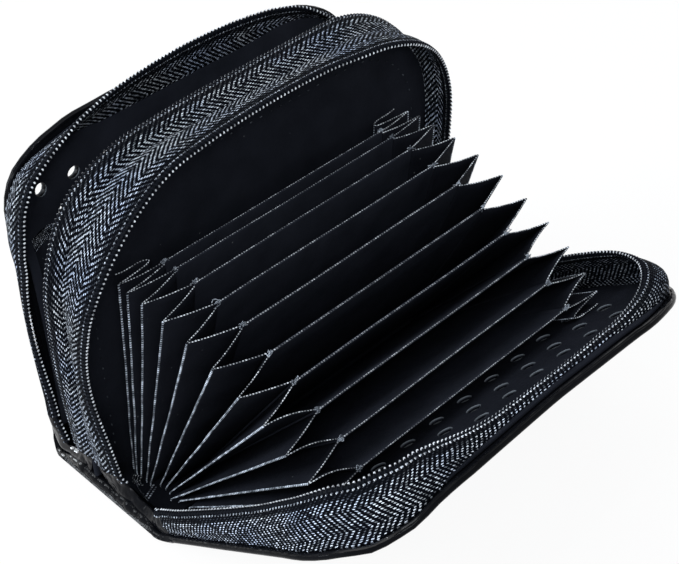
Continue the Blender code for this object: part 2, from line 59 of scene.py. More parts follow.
# Sizes in millimetres.
REACH = 80.5
PARTITION_REACH = 81.5
HALF_LENGTH = 55.6
CORNER = 28.0
TAPE_START = 9.5
HALF_LEATHER = 0.75
LINING_LOW = 0.85
LINING_HIGH = 1.55
HALF_DIVIDER = 33.3
DIVIDER_HEIGHT = 54.0
DIVIDER_ANGLES = (89.9, 88.0, 83.4, 77.5, 71.2, 64.2, 57.5, 51.2, 44.9, 38.8)
CLOSED_ANGLES = (91.3, 91.62, 91.94, 92.27, 92.59, 92.91, 93.23, 93.55, 93.88, 94.2)
FOOT_X = [16.015 - 1.67 * (9 - k) for k in range(10)]
FOOT_Z = 3.4
TIP = 11.4
HOLE_RADIUS = 1.7
HOLE_LIP = .14
HOLE_SIDES = 14
NET_PITCH = 3.6
NET_GAP = .9
FOLD_X = 19.615
FOLD_Z = 1.0
PARTITION_X = -3.915
PARTITION_DEGREES = 91.0
TAPE_THICK = .5
WALL_THICK = .62
GUSSET_THICK = .30
GUSSET_HEIGHT = 53.0
RIM_STEP = 1.4
FOLD_STEPS = 12


def ease(x):
    x = np.clip(x, 0.0, 1.0)
    return x * x * (3 - 2 * x)


def unit(v):
    return v / (np.linalg.norm(v, axis=-1, keepdims=True) + 1e-12)


def stacked(*values):
    """Arrays spread over one grid and stacked there, as its points or its UVs."""
    return np.stack(np.broadcast_arrays(*values), -1)


def run_length(line):
    """How far each point of a line lies along it."""
    return np.concatenate([[0], np.cumsum(np.linalg.norm(np.diff(line, axis=0), axis=1))])


def linked(name, data):
    """A new object in the scene."""
    made = bpy.data.objects.new(name, data)
    bpy.context.scene.collection.objects.link(made)
    return made


def waves(points, seed, size):
    """A smooth unevenness from -1 to 1 over points, for cloth and leather that isn't flat."""
    rng = np.random.default_rng(seed)
    total = np.zeros(np.shape(points)[:-1])
    for k in range(5):
        direction = rng.normal(size=3)
        direction /= np.linalg.norm(direction)
        total += np.sin(points @ direction * (2 * math.pi / (size * rng.uniform(0.6, 1.5)))
                        + rng.uniform(0, 6.28))
    return total / 5


# The leaves

class Leaf:
    """A cover, the partition or a divider: a plane through a fold line along Y.
    settle holds (degrees round the rim, inset, lift) rows for a soft cover's real shape. They
    are read round a centre up the leaf, and fade out with the depth in from the rim."""

    CENTRE = 35.0
    INSET_FADE = 24.0
    LIFT_FADE = 32.0

    def __init__(self, fold_x, fold_z, degrees, reach=REACH, settle=None):
        self.fold = (fold_x, fold_z)
        self.turn = math.radians(degrees)
        self.reach = reach
        self.settle = None if settle is None else np.array(settle, float)

    def depth(self, u, y):
        """How far a point lies inside the rim."""
        across = np.abs(u) - (self.reach - CORNER)
        along = np.abs(y) - (HALF_LENGTH - CORNER)
        outside = np.hypot(np.maximum(across, 0), np.maximum(along, 0))
        return CORNER - outside - np.minimum(np.maximum(across, along), 0)

    def at(self, u, y, n):
        """Points at u up the leaf from its fold, y along the fold and n off the plane."""
        u, y, n = np.broadcast_arrays(*(np.asarray(v, float) for v in (u, y, n)))
        if self.settle is not None:
            around = np.degrees(np.arctan2(u - self.CENTRE, -y))
            around = np.where(around < -90, around + 360, around)
            degrees, inset, lift = self.settle.T
            depth = self.depth(u, y)
            inset = np.interp(around, degrees, inset) * ease(1 - depth / self.INSET_FADE)
            lift = np.interp(around, degrees, lift) * ease(1 - depth / self.LIFT_FADE)
            away = np.hypot(u - self.CENTRE, y) + 1e-9
            u, y, n = u - (u - self.CENTRE) / away * inset, y - y / away * inset, n + lift
        c, s = math.cos(self.turn), math.sin(self.turn)
        return stacked(self.fold[0] + c * u - s * n, y, self.fold[1] + s * u + c * n)

    def normal(self):
        return np.array([-math.sin(self.turn), 0.0, math.cos(self.turn)])


FRONT = Leaf(FOLD_X, FOLD_Z, 37.0, settle=[
    (-31, .6, 0), (-10, .2, 0), (14, 0, 0), (30, 0, -.6), (36, 0, -1.5), (45, .6, -.3),
    (49, 1.6, .9), (54, 2.2, 1.6), (65, 2.3, 1.75), (90, 2.4, 2.05), (121, 2.2, 1.7),
    (132, 1.8, 1.0), (138, 1.2, .3), (143, .6, 0), (149, 0, -.5), (170, 0, 0), (211, .6, 0)])
REAR = Leaf(-FOLD_X, FOLD_Z, 99.0, settle=[
    (-31, 1.4, 0), (-27, 1.9, 0), (-20, 2.7, 0), (-10, 3.3, 0), (-4, 3.6, 0), (8, 4.2, 0),
    (17, 4.6, 0), (25, 3.5, 0), (31, 1.8, 0), (37, 1.0, 0), (43, 2.0, 0), (50, 3.2, 0),
    (58, 3.4, 0), (66, 2.8, 0), (78, 2.5, 0), (90, 2.4, 0), (103, 2.6, 0), (115, 3.1, 0),
    (125, 3.5, 0), (135, 2.4, 0), (143, 1.2, 0), (150, .8, 0), (170, 1.2, 0), (211, 1, 0)])
PARTITION = Leaf(PARTITION_X, 0.0, PARTITION_DEGREES, reach=PARTITION_REACH)
WALLS = [Leaf(x, FOOT_Z, a) for x, a in zip(FOOT_X, DIVIDER_ANGLES)]


# Meshes

class Form:
    """Collects closed parts of one piece, with UVs in millimetres and an edge attribute."""

    def __init__(self):
        self.points, self.faces, self.uvs, self.edges, self.looks = [], [], [], [], []
        self.count = 0

    def add(self, points, faces, uv, edge=0.0, look=0):
        """Adds a closed part, its faces turned outwards by the sign of its volume."""
        size = len(points)
        volume = sum(points[f[0]] @ np.cross(points[f[i]], points[f[i + 1]])
                     for f in faces for i in range(1, len(f) - 1))
        for f in faces:
            self.faces.append(tuple(i + self.count for i in (f if volume >= 0 else f[::-1])))
        self.points.append(points)
        self.uvs.append(uv)
        self.edges.append(np.broadcast_to(edge, (size,)))
        self.looks += [look] * len(faces)
        self.count += size

    def piece(self, name, *looks, smooth=40):
        """The parts as one object. smooth is the angle in degrees up to which edges are soft."""
        mesh = bpy.data.meshes.new(name)
        points = np.concatenate(self.points) * MM
        mesh.from_pydata(points.tolist(), [], self.faces)
        corners = np.empty(len(mesh.loops), np.int32)
        mesh.loops.foreach_get("vertex_index", corners)
        layer = mesh.uv_layers.new(name="cloth_mm")
        layer.data.foreach_set("uv", np.concatenate(self.uvs)[corners].astype(np.float32).ravel())
        tone = mesh.attributes.new("edge", "FLOAT", "POINT")
        tone.data.foreach_set("value", np.concatenate(self.edges).astype(np.float32))
        for look in looks:
            mesh.materials.append(look)
        if len(looks) > 1:
            mesh.polygons.foreach_set("material_index", self.looks)
        mesh.shade_smooth()
        mesh.set_sharp_from_angle(angle=math.radians(smooth))
        return linked(name, mesh)


def outline(start, reach, inset):
    """A panel's outline anticlockwise from its near end by the fold, drawn in all round."""
    start, reach, half, radius = start + inset, reach - inset, HALF_LENGTH - inset, CORNER - inset
    side = np.linspace(start, reach - radius, 16)
    turn = np.linspace(0, math.pi / 2, 15)[1:]
    sine, cosine = radius * np.sin(turn), radius * np.cos(turn)
    return np.concatenate([
        stacked(side, -half),
        stacked(reach - radius + sine, radius - half - cosine),
        stacked(reach, np.linspace(radius - half, half - radius, 16)[1:]),
        stacked(reach - radius + cosine, half - radius + sine),
        stacked(side[::-1][1:], half),
        stacked(start, np.linspace(half, -half, 28)[1:-1])])


def filled(loops, inner, hollow):
    """Triangles inside the first loop and outside the others, with inner points among them.
    hollow says whether a place lies in a hole. Returns points, triangles and the loops' points."""
    flat = [tuple(p) for loop in loops for p in loop] + inner
    borders, edges = [], []
    first = 0
    for loop in loops:
        border = range(first, first + len(loop))
        borders.append(border)
        edges += zip(border, [*border[1:], first])
        first += len(loop)
    made, _, triangles, origin, _, _ = delaunay_2d_cdt([Vector(p) for p in flat], edges, [], 0, 1e-6)
    place = {source: i for i, sources in enumerate(origin) for source in sources}
    points = np.array([tuple(v) for v in made])
    kept = [tuple(t) for t in triangles if not hollow(*points[list(t)].mean(0))]
    return points, kept, [[place[i] for i in border] for border in borders]


def bands(rings):
    """Faces between each closed ring of points and the next."""
    faces = []
    for upper, lower in zip(rings, rings[1:]):
        for i in range(len(upper)):
            j = (i + 1) % len(upper)
            faces.append((upper[i], lower[i], lower[j], upper[j]))
    return faces


def shifted_by(count, loop):
    """The same points on a later layer."""
    return [i + count for i in loop]


def panel(form, leaf, start, inset, low, high, rounding, holes=(), swell=None):
    """A flat panel of a leaf with a rounded rim and round-edged holes through it."""
    half = (high - low) / 2
    part_in, part_down = rounding * .28, half * .35
    rings = [(rounding, high), (part_in, high - part_down), (0, (low + high) / 2),
             (part_in, low + part_down)]
    loops = [outline(start, leaf.reach, inset + drawn) for drawn, _ in rings]
    turn = np.linspace(0, 2 * math.pi, HOLE_SIDES, endpoint=False)
    circle = stacked(np.cos(turn), np.sin(turn))
    lip = HOLE_RADIUS + HOLE_LIP

    def by_hole(u, y, reach):
        return any((u - hu) ** 2 + (y - hy) ** 2 < reach ** 2 for hu, hy in holes)

    border = inset + rounding + NET_PITCH * .45
    inner = []
    for i, u in enumerate(np.arange(start + border, leaf.reach, NET_PITCH * .9)):
        for y in np.arange(-HALF_LENGTH, HALF_LENGTH, NET_PITCH) + NET_PITCH / 2 * (i % 2):
            if leaf.depth(u, y) >= border and not by_hole(u, y, lip + NET_GAP):
                inner.append((u, y))
    within_polygon = lip * .965
    flat, kept, (rim, *lips) = filled([loops[0]] + [circle * lip + hole for hole in holes], inner,
                                      lambda u, y: by_hole(u, y, within_polygon))
    count = len(flat)
    bulge = 0.0 if swell is None else swell(*flat.T)
    points = [leaf.at(*flat.T, high + bulge), leaf.at(*flat.T, low - bulge)]
    uvs = [flat, flat]
    edge = [np.zeros(2 * count)]
    faces = kept + [tuple(shifted_by(count, t[::-1])) for t in kept]

    def ring(line, n, tone):
        first = sum(len(part) for part in uvs)
        points.append(leaf.at(*line.T, n))
        uvs.append(line)
        edge.append(np.full(len(line), tone))
        return list(range(first, first + len(line)))

    sides = [ring(loop, n, 0.0) for loop, (_, n) in zip(loops[1:], rings[1:])]
    faces += bands([rim, *sides, shifted_by(count, rim)])
    # A hole's wall shows the raw cut, paler than the face, and is painted paler still at the top and
    # darker lower down: a painted highlight on the lit rim and painted shade in the hole.
    for hole, top in zip(holes, lips):
        wall = circle * HOLE_RADIUS + hole
        steps = [top, ring(wall, high - half * .12, .75), ring(wall, low + half * .3, .2),
                 shifted_by(count, top)]
        faces += bands([step[::-1] for step in steps])
    form.add(np.concatenate(points), faces, np.concatenate(uvs), np.concatenate(edge))


def cloth(form, grid, thickness, uv=None, edge=0.0):
    """A sheet with two faces and rounded borders from the rows and columns of its middle."""
    rows, columns = grid.shape[:2]
    along, across = np.gradient(grid, axis=0), np.gradient(grid, axis=1)
    half = thickness / 2
    lift = unit(np.cross(along, across)) * half
    along, across = unit(along), unit(across)
    uv = np.zeros((rows, columns, 2)) if uv is None else uv
    edge = np.broadcast_to(edge, (rows, columns))
    count = rows * columns

    def at(i, j, face=0):
        return i * columns + j + face * count

    faces = []
    for i in range(rows - 1):
        for j in range(columns - 1):
            faces.append((at(i, j), at(i + 1, j), at(i + 1, j + 1), at(i, j + 1)))
            faces.append((at(i, j, 1), at(i, j + 1, 1), at(i + 1, j + 1, 1), at(i + 1, j, 1)))
    border = ([(0, j) for j in range(columns)] + [(i, columns - 1) for i in range(1, rows)]
              + [(rows - 1, j) for j in range(columns - 2, -1, -1)]
              + [(i, 0) for i in range(rows - 2, 0, -1)])
    size = len(border)
    for k in range(size):
        m = (k + 1) % size
        a, b = at(*border[k]), at(*border[m])
        faces.append((a, b, 2 * count + m, 2 * count + k))
        faces.append((2 * count + k, 2 * count + m, b + count, a + count))
    i, j = np.array(border).T
    last_row, last_column = rows - 1, columns - 1
    outward = unit(((i == last_row) * 1.0 - (i == 0))[:, None] * along[i, j]
                   + ((j == last_column) * 1.0 - (j == 0))[:, None] * across[i, j])
    points = [(grid + lift).reshape(-1, 3), (grid - lift).reshape(-1, 3),
              grid[i, j] + outward * half * .9]
    uvs = [uv.reshape(-1, 2)] * 2 + [uv[i, j]]
    edges = [edge.ravel()] * 2 + [edge[i, j]]
    form.add(np.concatenate(points), faces, np.concatenate(uvs), np.concatenate(edges))


def sheet_piece(name, look, grid, thickness, uv=None, edge=0.0, smooth=40):
    """A piece that is one sheet."""
    form = Form()
    cloth(form, grid, thickness, uv, edge)
    return form.piece(name, look, smooth=smooth)


def frames_along(line, up=None):
    """Tangent, side and up at each point of a line, turning as little as possible."""
    tangent = unit(np.gradient(line, axis=0))
    if up is None:
        ups = [np.array([0, 0, 1.0] if abs(tangent[0][2]) < .8 else [1.0, 0, 0])]
        for t in tangent:
            ups.append(unit(ups[-1] - t * (ups[-1] @ t)))
        up = np.array(ups[1:])
    else:
        up = unit(up - tangent * np.sum(up * tangent, 1, keepdims=True))
    return tangent, np.cross(tangent, up), up


def tube(form, line, radius, sides=6, look=0, up=None, flat=1.0, start=0.0):
    """A tube with rounded ends along a line. flat is its height by its width, and start the
    length at which its UVs begin."""
    count = len(line)
    radius = np.broadcast_to(radius, (count,))
    tangent, side, up = frames_along(line, up)
    turn = np.linspace(0, 2 * math.pi, sides, endpoint=False)
    ring = (np.cos(turn)[None, :, None] * side[:, None, :]
            + np.sin(turn)[None, :, None] * up[:, None, :] * flat)
    body = line[:, None, :] + ring * radius[:, None, None]
    caps = [line[0] - tangent[0] * radius[0] * .7, line[-1] + tangent[-1] * radius[-1] * .7]
    length = run_length(line) + start
    around = np.minimum(turn, 2 * math.pi - turn) * radius.mean()
    uv = stacked(length[:, None], around).reshape(-1, 2)
    faces = []
    for i in range(0, (count - 1) * sides, sides):
        for j in range(sides):
            m = (j + 1) % sides
            faces.append((i + j, i + m, i + sides + m, i + sides + j))
    last = (count - 1) * sides
    for j in range(sides):
        m = (j + 1) % sides
        faces.append((count * sides, m, j))
        faces.append((count * sides + 1, last + j, last + m))
    form.add(np.concatenate([body.reshape(-1, 3), caps]), faces,
             np.concatenate([uv, [[length[0], 0], [length[-1], 0]]]), look=look)


def smooth_line(points, steps):
    """A smooth line through points, steps parts for each span."""
    points = np.asarray(points, float)
    padded = np.concatenate([[2 * points[0] - points[1]], points, [2 * points[-1] - points[-2]]])
    line = []
    for k in range(len(points) - 1):
        a, b, c, d = padded[k:k + 4]
        for t in np.linspace(0, 1, steps, endpoint=False):
            line.append(.5 * (2 * b + (c - a) * t + (2 * a - 5 * b + 4 * c - d) * t * t
                              + (3 * b - a - 3 * c + d) * t ** 3))
    return np.array(line + [points[-1]])


# Materials

class Tree:
    """A node tree, written as short calls."""

    def __init__(self, tree):
        self.nodes, self.links = tree.nodes, tree.links

    def put(self, node, key, value):
        """Links or sets an input, given by its number or its name."""
        socket = node.inputs[key if isinstance(key, int) else key.replace("_", " ")]
        if isinstance(value, bpy.types.NodeSocket):
            self.links.new(value, socket)
        else:
            socket.default_value = value

    def node(self, kind, *inputs, settings=None, **named):
        """A node with its first inputs in their order and others by name."""
        made = self.nodes.new(kind if "Node" in kind else "ShaderNode" + kind)
        for key, value in (settings or {}).items():
            setattr(made, key, value)
        for key, value in (*enumerate(inputs), *named.items()):
            self.put(made, key, value)
        return made

    def out(self, kind, *inputs, settings=None, **named):
        """The first output of a node."""
        return self.node(kind, *inputs, settings=settings, **named).outputs[0]

    def math(self, operation, a, b=0.0):
        return self.out("Math", a, b, settings={"operation": operation})

    def plus(self, a, b):
        return self.math("ADD", a, b)

    def times(self, a, b):
        return self.math("MULTIPLY", a, b)

    def seen(self):
        """1 on what the camera sees, itself, mirrored or through something clear."""
        path = self.node("LightPath").outputs
        return self.math("MAXIMUM", path["Is Camera Ray"], self.math(
            "MAXIMUM", path["Is Glossy Ray"], path["Is Transmission Ray"]))


class Look(Tree):
    """A material."""

    def __init__(self, name):
        self.material = bpy.data.materials.new(name)
        self.material.use_nodes = True
        super().__init__(self.material.node_tree)
        self.shader = self.nodes["Principled BSDF"]

    def object_mm(self):
        """The place on the object, in millimetres."""
        at = self.node("TexCoord").outputs["Object"]
        return self.out("VectorMath", at, settings={"operation": "SCALE"}, Scale=1 / MM)

    def stretched(self, at, shares):
        return self.out("VectorMath", at, shares, settings={"operation": "MULTIPLY"})

    def cloth_mm(self):
        """The place on the cloth, in millimetres along and across it."""
        uv = self.out("UVMap", settings={"uv_map": "cloth_mm"})
        return self.node("SeparateXYZ", uv).outputs[:2]

    def edge(self):
        return self.node("Attribute", settings={"attribute_name": "edge"}).outputs["Fac"]

    def noise(self, at, scale, detail=2.0, roughness=.5):
        return self.out("TexNoise", Vector=at, Scale=scale, Detail=detail, Roughness=roughness)

    def cells(self, at, scale):
        return self.out("TexVoronoi", Vector=at, Scale=scale)

    def ramp(self, value, *stops):
        made = self.node("ValToRGB", value)
        for element, (place, colour) in zip(made.color_ramp.elements, stops):
            element.position = place
            element.color = (*colour, 1)
        return made.outputs[0]

    def mix(self, share, a, b):
        made = self.node("Mix", share, settings={"data_type": "RGBA"})
        for index, value in ((6, a), (7, b)):
            self.put(made, index, (*value, 1) if isinstance(value, tuple) else value)
        return made.outputs[2]

    def between(self, value, low, high, to_low=0.0, to_high=1.0):
        return self.out("MapRange", value, low, high, to_low, to_high,
                        settings={"interpolation_type": "SMOOTHSTEP"})

    def bump(self, height, distance, strength, under=None):
        made = self.node("Bump", Strength=strength, Distance=distance * MM, Height=height)
        if under is not None:
            self.put(made, "Normal", under)
        return made.outputs[0]

    def done(self, colour, roughness, normal, **others):
        for key, value in dict(Base_Color=colour, Roughness=roughness, Normal=normal, **others).items():
            self.put(self.shader, key, value)
        return self.material


# Where handling has polished the turned leather: place and reach in mm, and how strongly.
POLISHED = [((77.5, -51.0, 43.0), 9.0, 1.0), ((-15.0, -55.0, 4.0), 7.0, .8)]


def leather_look(name, turned=False):
    """Smooth black box-finished leather: fine pores, soft creases, a paler raw cut."""
    look = Look(name)
    at = look.object_mm()
    grain = look.cells(at, 1.9)
    pores = look.noise(at, 2.6, 3.0, .6)
    creases = look.noise(look.stretched(at, (.10, .035, .10)), 1.0, 3.0, .55)
    wear = look.noise(at, .05, 4.0, .6)
    cut = look.between(look.edge(), .35, .9)
    fibre = look.ramp(look.noise(at, 6.0, 3.0, .7), (.3, (.02, .022, .026)), (.7, (.10, .11, .12)))
    colour = look.ramp(wear, (.30, (.0018, .0020, .0026)), (.72, (.0042, .0046, .0062)))
    colour = look.mix(cut, colour, fibre)
    rough = look.plus(look.between(wear, .3, .75, .07, .17), look.times(cut, .35))
    rough = look.plus(rough, look.times(grain, .06))
    height = look.plus(look.times(grain, -.55), look.times(pores, .5))
    normal = look.bump(height, .02 if turned else .08, .35)
    normal = look.bump(creases, .5 if turned else .8, .35, normal)
    if not turned:
        return look.done(colour, rough, normal, Specular_IOR_Level=.04)
    pleats = look.noise(look.stretched(at, (.55, .22, .30)), 1.0, 1.0, .4)
    normal = look.bump(pleats, 1.0, .6, normal)
    polish = 0.0
    for place, reach, weight in POLISHED:
        away = look.node("VectorMath", at, place, settings={"operation": "DISTANCE"}).outputs["Value"]
        polish = look.plus(polish, look.between(away, reach * .4, reach, weight, 0))
    return look.done(colour, rough, normal, Specular_IOR_Level=.055, Coat_Weight=polish,
                     Coat_Normal=normal, Coat_Roughness=.10)


def lining_look(name, tone, specks=.72):
    """Close-woven near-black cloth with a little lint, and paler raw edges. tone is how pale the
    cloth is, set for each place as painted light and shade, and specks how high the lint's noise has to
    be to show."""
    def toned(*colour):
        return tuple(tone * part for part in colour)

    look = Look(name)
    at = look.object_mm()
    threads = [look.math("SINE", look.times(way, 2 * math.pi / .34)) for way in look.cloth_mm()]
    weave = look.times(*threads)
    shade = look.noise(at, .11, 3.0)
    colour = look.ramp(shade, (.25, toned(.0028, .0032, .0045)), (.75, toned(.0050, .0056, .0078)))
    colour = look.mix(look.between(weave, -.4, 1.0, 0.0, .16), colour, toned(.014, .016, .021))
    fine = look.noise(at, 1.3)
    lint = look.times(look.between(look.cells(at, .42), .11, .05),
                      look.between(fine, specks - .12, specks))
    colour = look.mix(look.times(lint, .75), colour, (.19, .20, .21))
    colour = look.mix(look.between(look.edge(), .3, .8), colour, (.16, .18, .20))
    normal = look.bump(weave, .05, .5)
    normal = look.bump(look.noise(at, .16, 3.0), .9, .25, normal)
    return look.done(colour, look.between(fine, .2, .8, .66, .84), normal, Specular_IOR_Level=.01)


def thread_look(name, dark, pale, pitch, slant, share=.5):
    """Twisted thread or a woven fold: short bright dashes along a dark line. share is how much
    of the line stays dark."""
    look = Look(name)
    along, across = look.cloth_mm()
    phase = look.plus(look.times(along, 2 * math.pi / pitch), look.times(across, slant))
    uneven = look.noise(look.object_mm(), .55, 3.0, .6)
    dash = look.plus(look.math("SINE", phase), look.times(look.math("SUBTRACT", uneven, share), 3.2))
    colour = look.mix(look.between(dash, -.7, .9), dark, pale)
    colour = look.mix(look.between(uneven, .62, .40, 0.0, .65), colour, dark)
    return look.done(colour, .6, look.bump(dash, .08, .6), Specular_IOR_Level=.03)


def herringbone_look(name, dot, column, slope, pitch, fade=1.0, far=1.0):
    """Zip tape: ribs of small pale floats that turn at each column, dark near the coil. The floats'
    paleness is partly the weave's own and partly a painted sparkle of light on the threads. dot,
    column and pitch are the floats', the columns' and the ribs' widths, fade is how pale the
    floats are, and far the share of them that shows on the wallet's far side, where their fading is
    painted shade."""
    look = Look(name)
    at = look.object_mm()
    along, across = look.cloth_mm()

    def wave(way, length):
        return look.math("SINE", look.times(way, 2 * math.pi / length))

    def cell(way, length):
        return look.math("FLOOR", look.plus(look.math("DIVIDE", way, length), .25))

    def centred(value, size):
        return look.times(look.math("SUBTRACT", value, .5), size)

    wander = centred(look.noise(at, .35), .45)
    shifted = look.plus(across, look.times(wander, .6))
    folded = look.math("PINGPONG", shifted, column)
    rib_at = look.plus(look.plus(along, wander), look.times(folded, slope))
    rib, dots = wave(rib_at, pitch), wave(shifted, dot)
    place = look.out("CombineXYZ", cell(rib_at, pitch), cell(shifted, dot))
    shade = look.out("TexWhiteNoise", settings={"noise_dimensions": "2D"}, Vector=place)
    uneven = look.noise(at, 1.9, 3.0, .65)
    stray = centred(uneven, 3.4)
    bright = look.times(look.between(look.plus(rib, stray), .10, .85),
                        look.between(look.plus(dots, stray), -.25, .65))
    bright = look.times(bright, look.between(shade, 0, .8, .12, 1.12))
    # Painted shade: the floats fade on the wallet's far side, away from the light.
    if far < 1:
        away = look.node("SeparateXYZ", at).outputs[1]
        bright = look.times(bright, look.between(away, 15, 48, 1.0, far))
    dark = (.0020, .0026, .0044)
    # Painted sparkle: the floats' pale blue-white stands partly for light glinting on the threads, its
    # tint varied by noise.
    sparkle_and_float_tint = look.noise(at, .07, 3.0, .6)
    pale = look.mix(look.between(sparkle_and_float_tint, .3, .7), (.58, .68, .90), (.88, .94, 1.0))
    pale = look.mix(fade, dark, pale)
    plain = look.mix(look.times(bright, .06), (.0024, .0030, .0046), pale)
    colour = look.mix(look.between(look.edge(), .45, .8), look.mix(bright, dark, pale), plain)
    return look.done(colour, look.between(uneven, .2, .8, .46, .66),
                     look.bump(look.plus(rib, dots), .10, .7), Specular_IOR_Level=.01)


def nylon_look(name, pale, dark):
    """Satin nylon wire, brighter at the ends of its loops: a painted highlight in the pale colour,
    where light glints on each loop's turn.
    """
    look = Look(name)
    at = look.object_mm()
    uneven = look.noise(at, .7)
    # Noise that makes the painted highlights patchy.
    glint_unevenness = look.noise(at, .13, 2.0, .6)
    # Painted light: along the front cover's rim, but not past its far corner, the loops are painted
    # pale all over, as if lit.
    x, y, _ = look.node("SeparateXYZ", at).outputs
    rim_painted_light = look.times(look.between(x, 56, 74, 0, .32), look.between(y, 18, 44, 1, 0))
    # The painted highlight's mask: pale at the loops' ends and over the front rim.
    ends = look.between(look.plus(look.edge(), rim_painted_light), .80, 1.04)
    ends = look.times(ends, look.between(uneven, .25, .62, .35, 1.0))
    ends = look.times(ends, look.between(glint_unevenness, .30, .62, .55, 1.0))
    return look.done(look.mix(ends, dark, pale), look.between(uneven, .2, .8, .30, .42),
                     look.bump(look.noise(at, 5.0), .02, .4), Specular_IOR_Level=.02)


def metal_look(name):
    """Gloss black nickel with worn edges and fine rub marks."""
    look = Look(name)
    at = look.object_mm()
    rub = look.noise(look.stretched(at, (1, 6, 1)), .9, 4.0, .6)
    colour = look.ramp(look.noise(at, .5, 3.0, .6), (.35, (.030, .031, .034)),
                       (.75, (.085, .087, .092)))
    return look.done(colour, look.between(rub, .2, .8, .16, .34), look.bump(rub, .015, .4),
                     Metallic=1.0)


LEATHER = leather_look("black_leather")
TURNED = leather_look("turned_edge_leather", turned=True)
# One near-black lining cloth in copies of different tone, each paler or darker for the light that
# reaches its place: painted light and shade.
LINING = lining_look("lining_cloth", tone=3.6)
FRONT_LINING = lining_look("front_lining_cloth", tone=2.2)
SPINE_CLOTH = lining_look("spine_cloth", tone=1.2)
WALL = lining_look("divider_cloth", tone=4.0)
PANEL = lining_look("partition_cloth", tone=2.3)
GUSSET = lining_look("bellows_cloth", tone=2.0, specks=.70)
FOLD = thread_look("fold_edge_thread", (.012, .014, .019), (.86, .91, .97), pitch=.70, slant=1.0)
TIP_RIB = thread_look("bellows_tip_rib", (.008, .010, .015), (.74, .82, .94), pitch=.66, slant=1.4)
TACK = thread_look("tack_thread", (.03, .035, .045), (.52, .58, .66), pitch=.35, slant=2.0, share=.40)
FAINT = thread_look("faint_thread", (.006, .007, .009), (.16, .18, .21), pitch=.5, slant=2.0,
                    share=.55)
BLACK_THREAD = thread_look("black_sewing_thread", (.004, .004, .005), (.030, .032, .036), pitch=.4,
                           slant=2.0, share=.42)
# The front tape's floats fade on its far side as painted shade.
HERRINGBONE = herringbone_look("herringbone_zip_tape", dot=.43, column=3.9, slope=.95, pitch=1.28,
                               far=.42)
FINE_HERRINGBONE = herringbone_look("fine_herringbone_zip_tape", dot=.36, column=3.4, slope=1.3,
                                    pitch=1.5)
HEM_WEAVE = herringbone_look("woven_hem", dot=.42, column=1.3, slope=.35, pitch=.62, fade=.6)
# The coil's pale colour is a painted highlight on dark nylon.
NYLON = nylon_look("coil_nylon", (.90, .94, 1.0), (.005, .006, .009))
DARK_NYLON = nylon_look("coil_stitch", (.012, .014, .019), (.004, .005, .007))
COIL_THREAD = thread_look("coil_sewing_thread", (.03, .034, .044), (.60, .66, .76), pitch=.9,
                          slant=1.0)
METAL = metal_look("black_nickel")


# Repeats by Geometry Nodes

def repeat_tree(kind, look):
    """A node tree that puts a coil loop or a stitch on every point, turned by its frame."""
    group = bpy.data.node_groups.new(kind + "_row", "GeometryNodeTree")
    face = group.interface
    face.new_socket("Points", in_out="INPUT", socket_type="NodeSocketGeometry")
    sizes = {}
    for name, value in (("Width", 2.0), ("Height", 1.1), ("Wire", .2)):
        socket = face.new_socket(name, in_out="INPUT", socket_type="NodeSocketFloat")
        socket.default_value = value
        sizes[name] = socket.identifier
    face.new_socket("Row", in_out="OUTPUT", socket_type="NodeSocketGeometry")
    tree = Tree(group)
    given = tree.node("NodeGroupInput").outputs
    half_width, half_height = tree.times(given["Width"], .5), tree.times(given["Height"], .5)
    x, _, z = tree.node("SeparateXYZ", tree.out("GeometryNodeInputPosition")).outputs
    circle = "GeometryNodeCurvePrimitiveCircle"
    if kind == "coil":
        loop = tree.out("GeometryNodeTransform", tree.out(circle, Resolution=12, Radius=1.0),
                        Scale=tree.out("CombineXYZ", half_width, half_height, 1.0))
        section = tree.out(circle, Resolution=5, Radius=given["Wire"])
        shape = tree.out("GeometryNodeCurveToMesh", loop, section)
        end = tree.math("DIVIDE", tree.math("ABSOLUTE", x), half_width)
    else:
        ball = tree.out("GeometryNodeMeshUVSphere", Segments=6, Rings=5, Radius=1.0)
        shape = tree.out("GeometryNodeTransform", ball,
                         Scale=tree.out("CombineXYZ", given["Wire"], half_height, half_width))
        end = tree.math("DIVIDE", z, half_width)
    stored = tree.out("GeometryNodeStoreNamedAttribute", Geometry=shape, Name="edge", Value=end,
                      settings={"data_type": "FLOAT", "domain": "POINT"})
    turn = tree.out("GeometryNodeInputNamedAttribute", Name="turn",
                    settings={"data_type": "FLOAT_VECTOR"})
    spread = tree.out("GeometryNodeInstanceOnPoints", Points=given["Points"], Instance=stored,
                      Rotation=tree.out("FunctionNodeEulerToRotation", turn))
    smooth = tree.out("GeometryNodeSetShadeSmooth", tree.out("GeometryNodeRealizeInstances", spread))
    tree.node("NodeGroupOutput", tree.out("GeometryNodeSetMaterial", Geometry=smooth, Material=look))
    return group, sizes


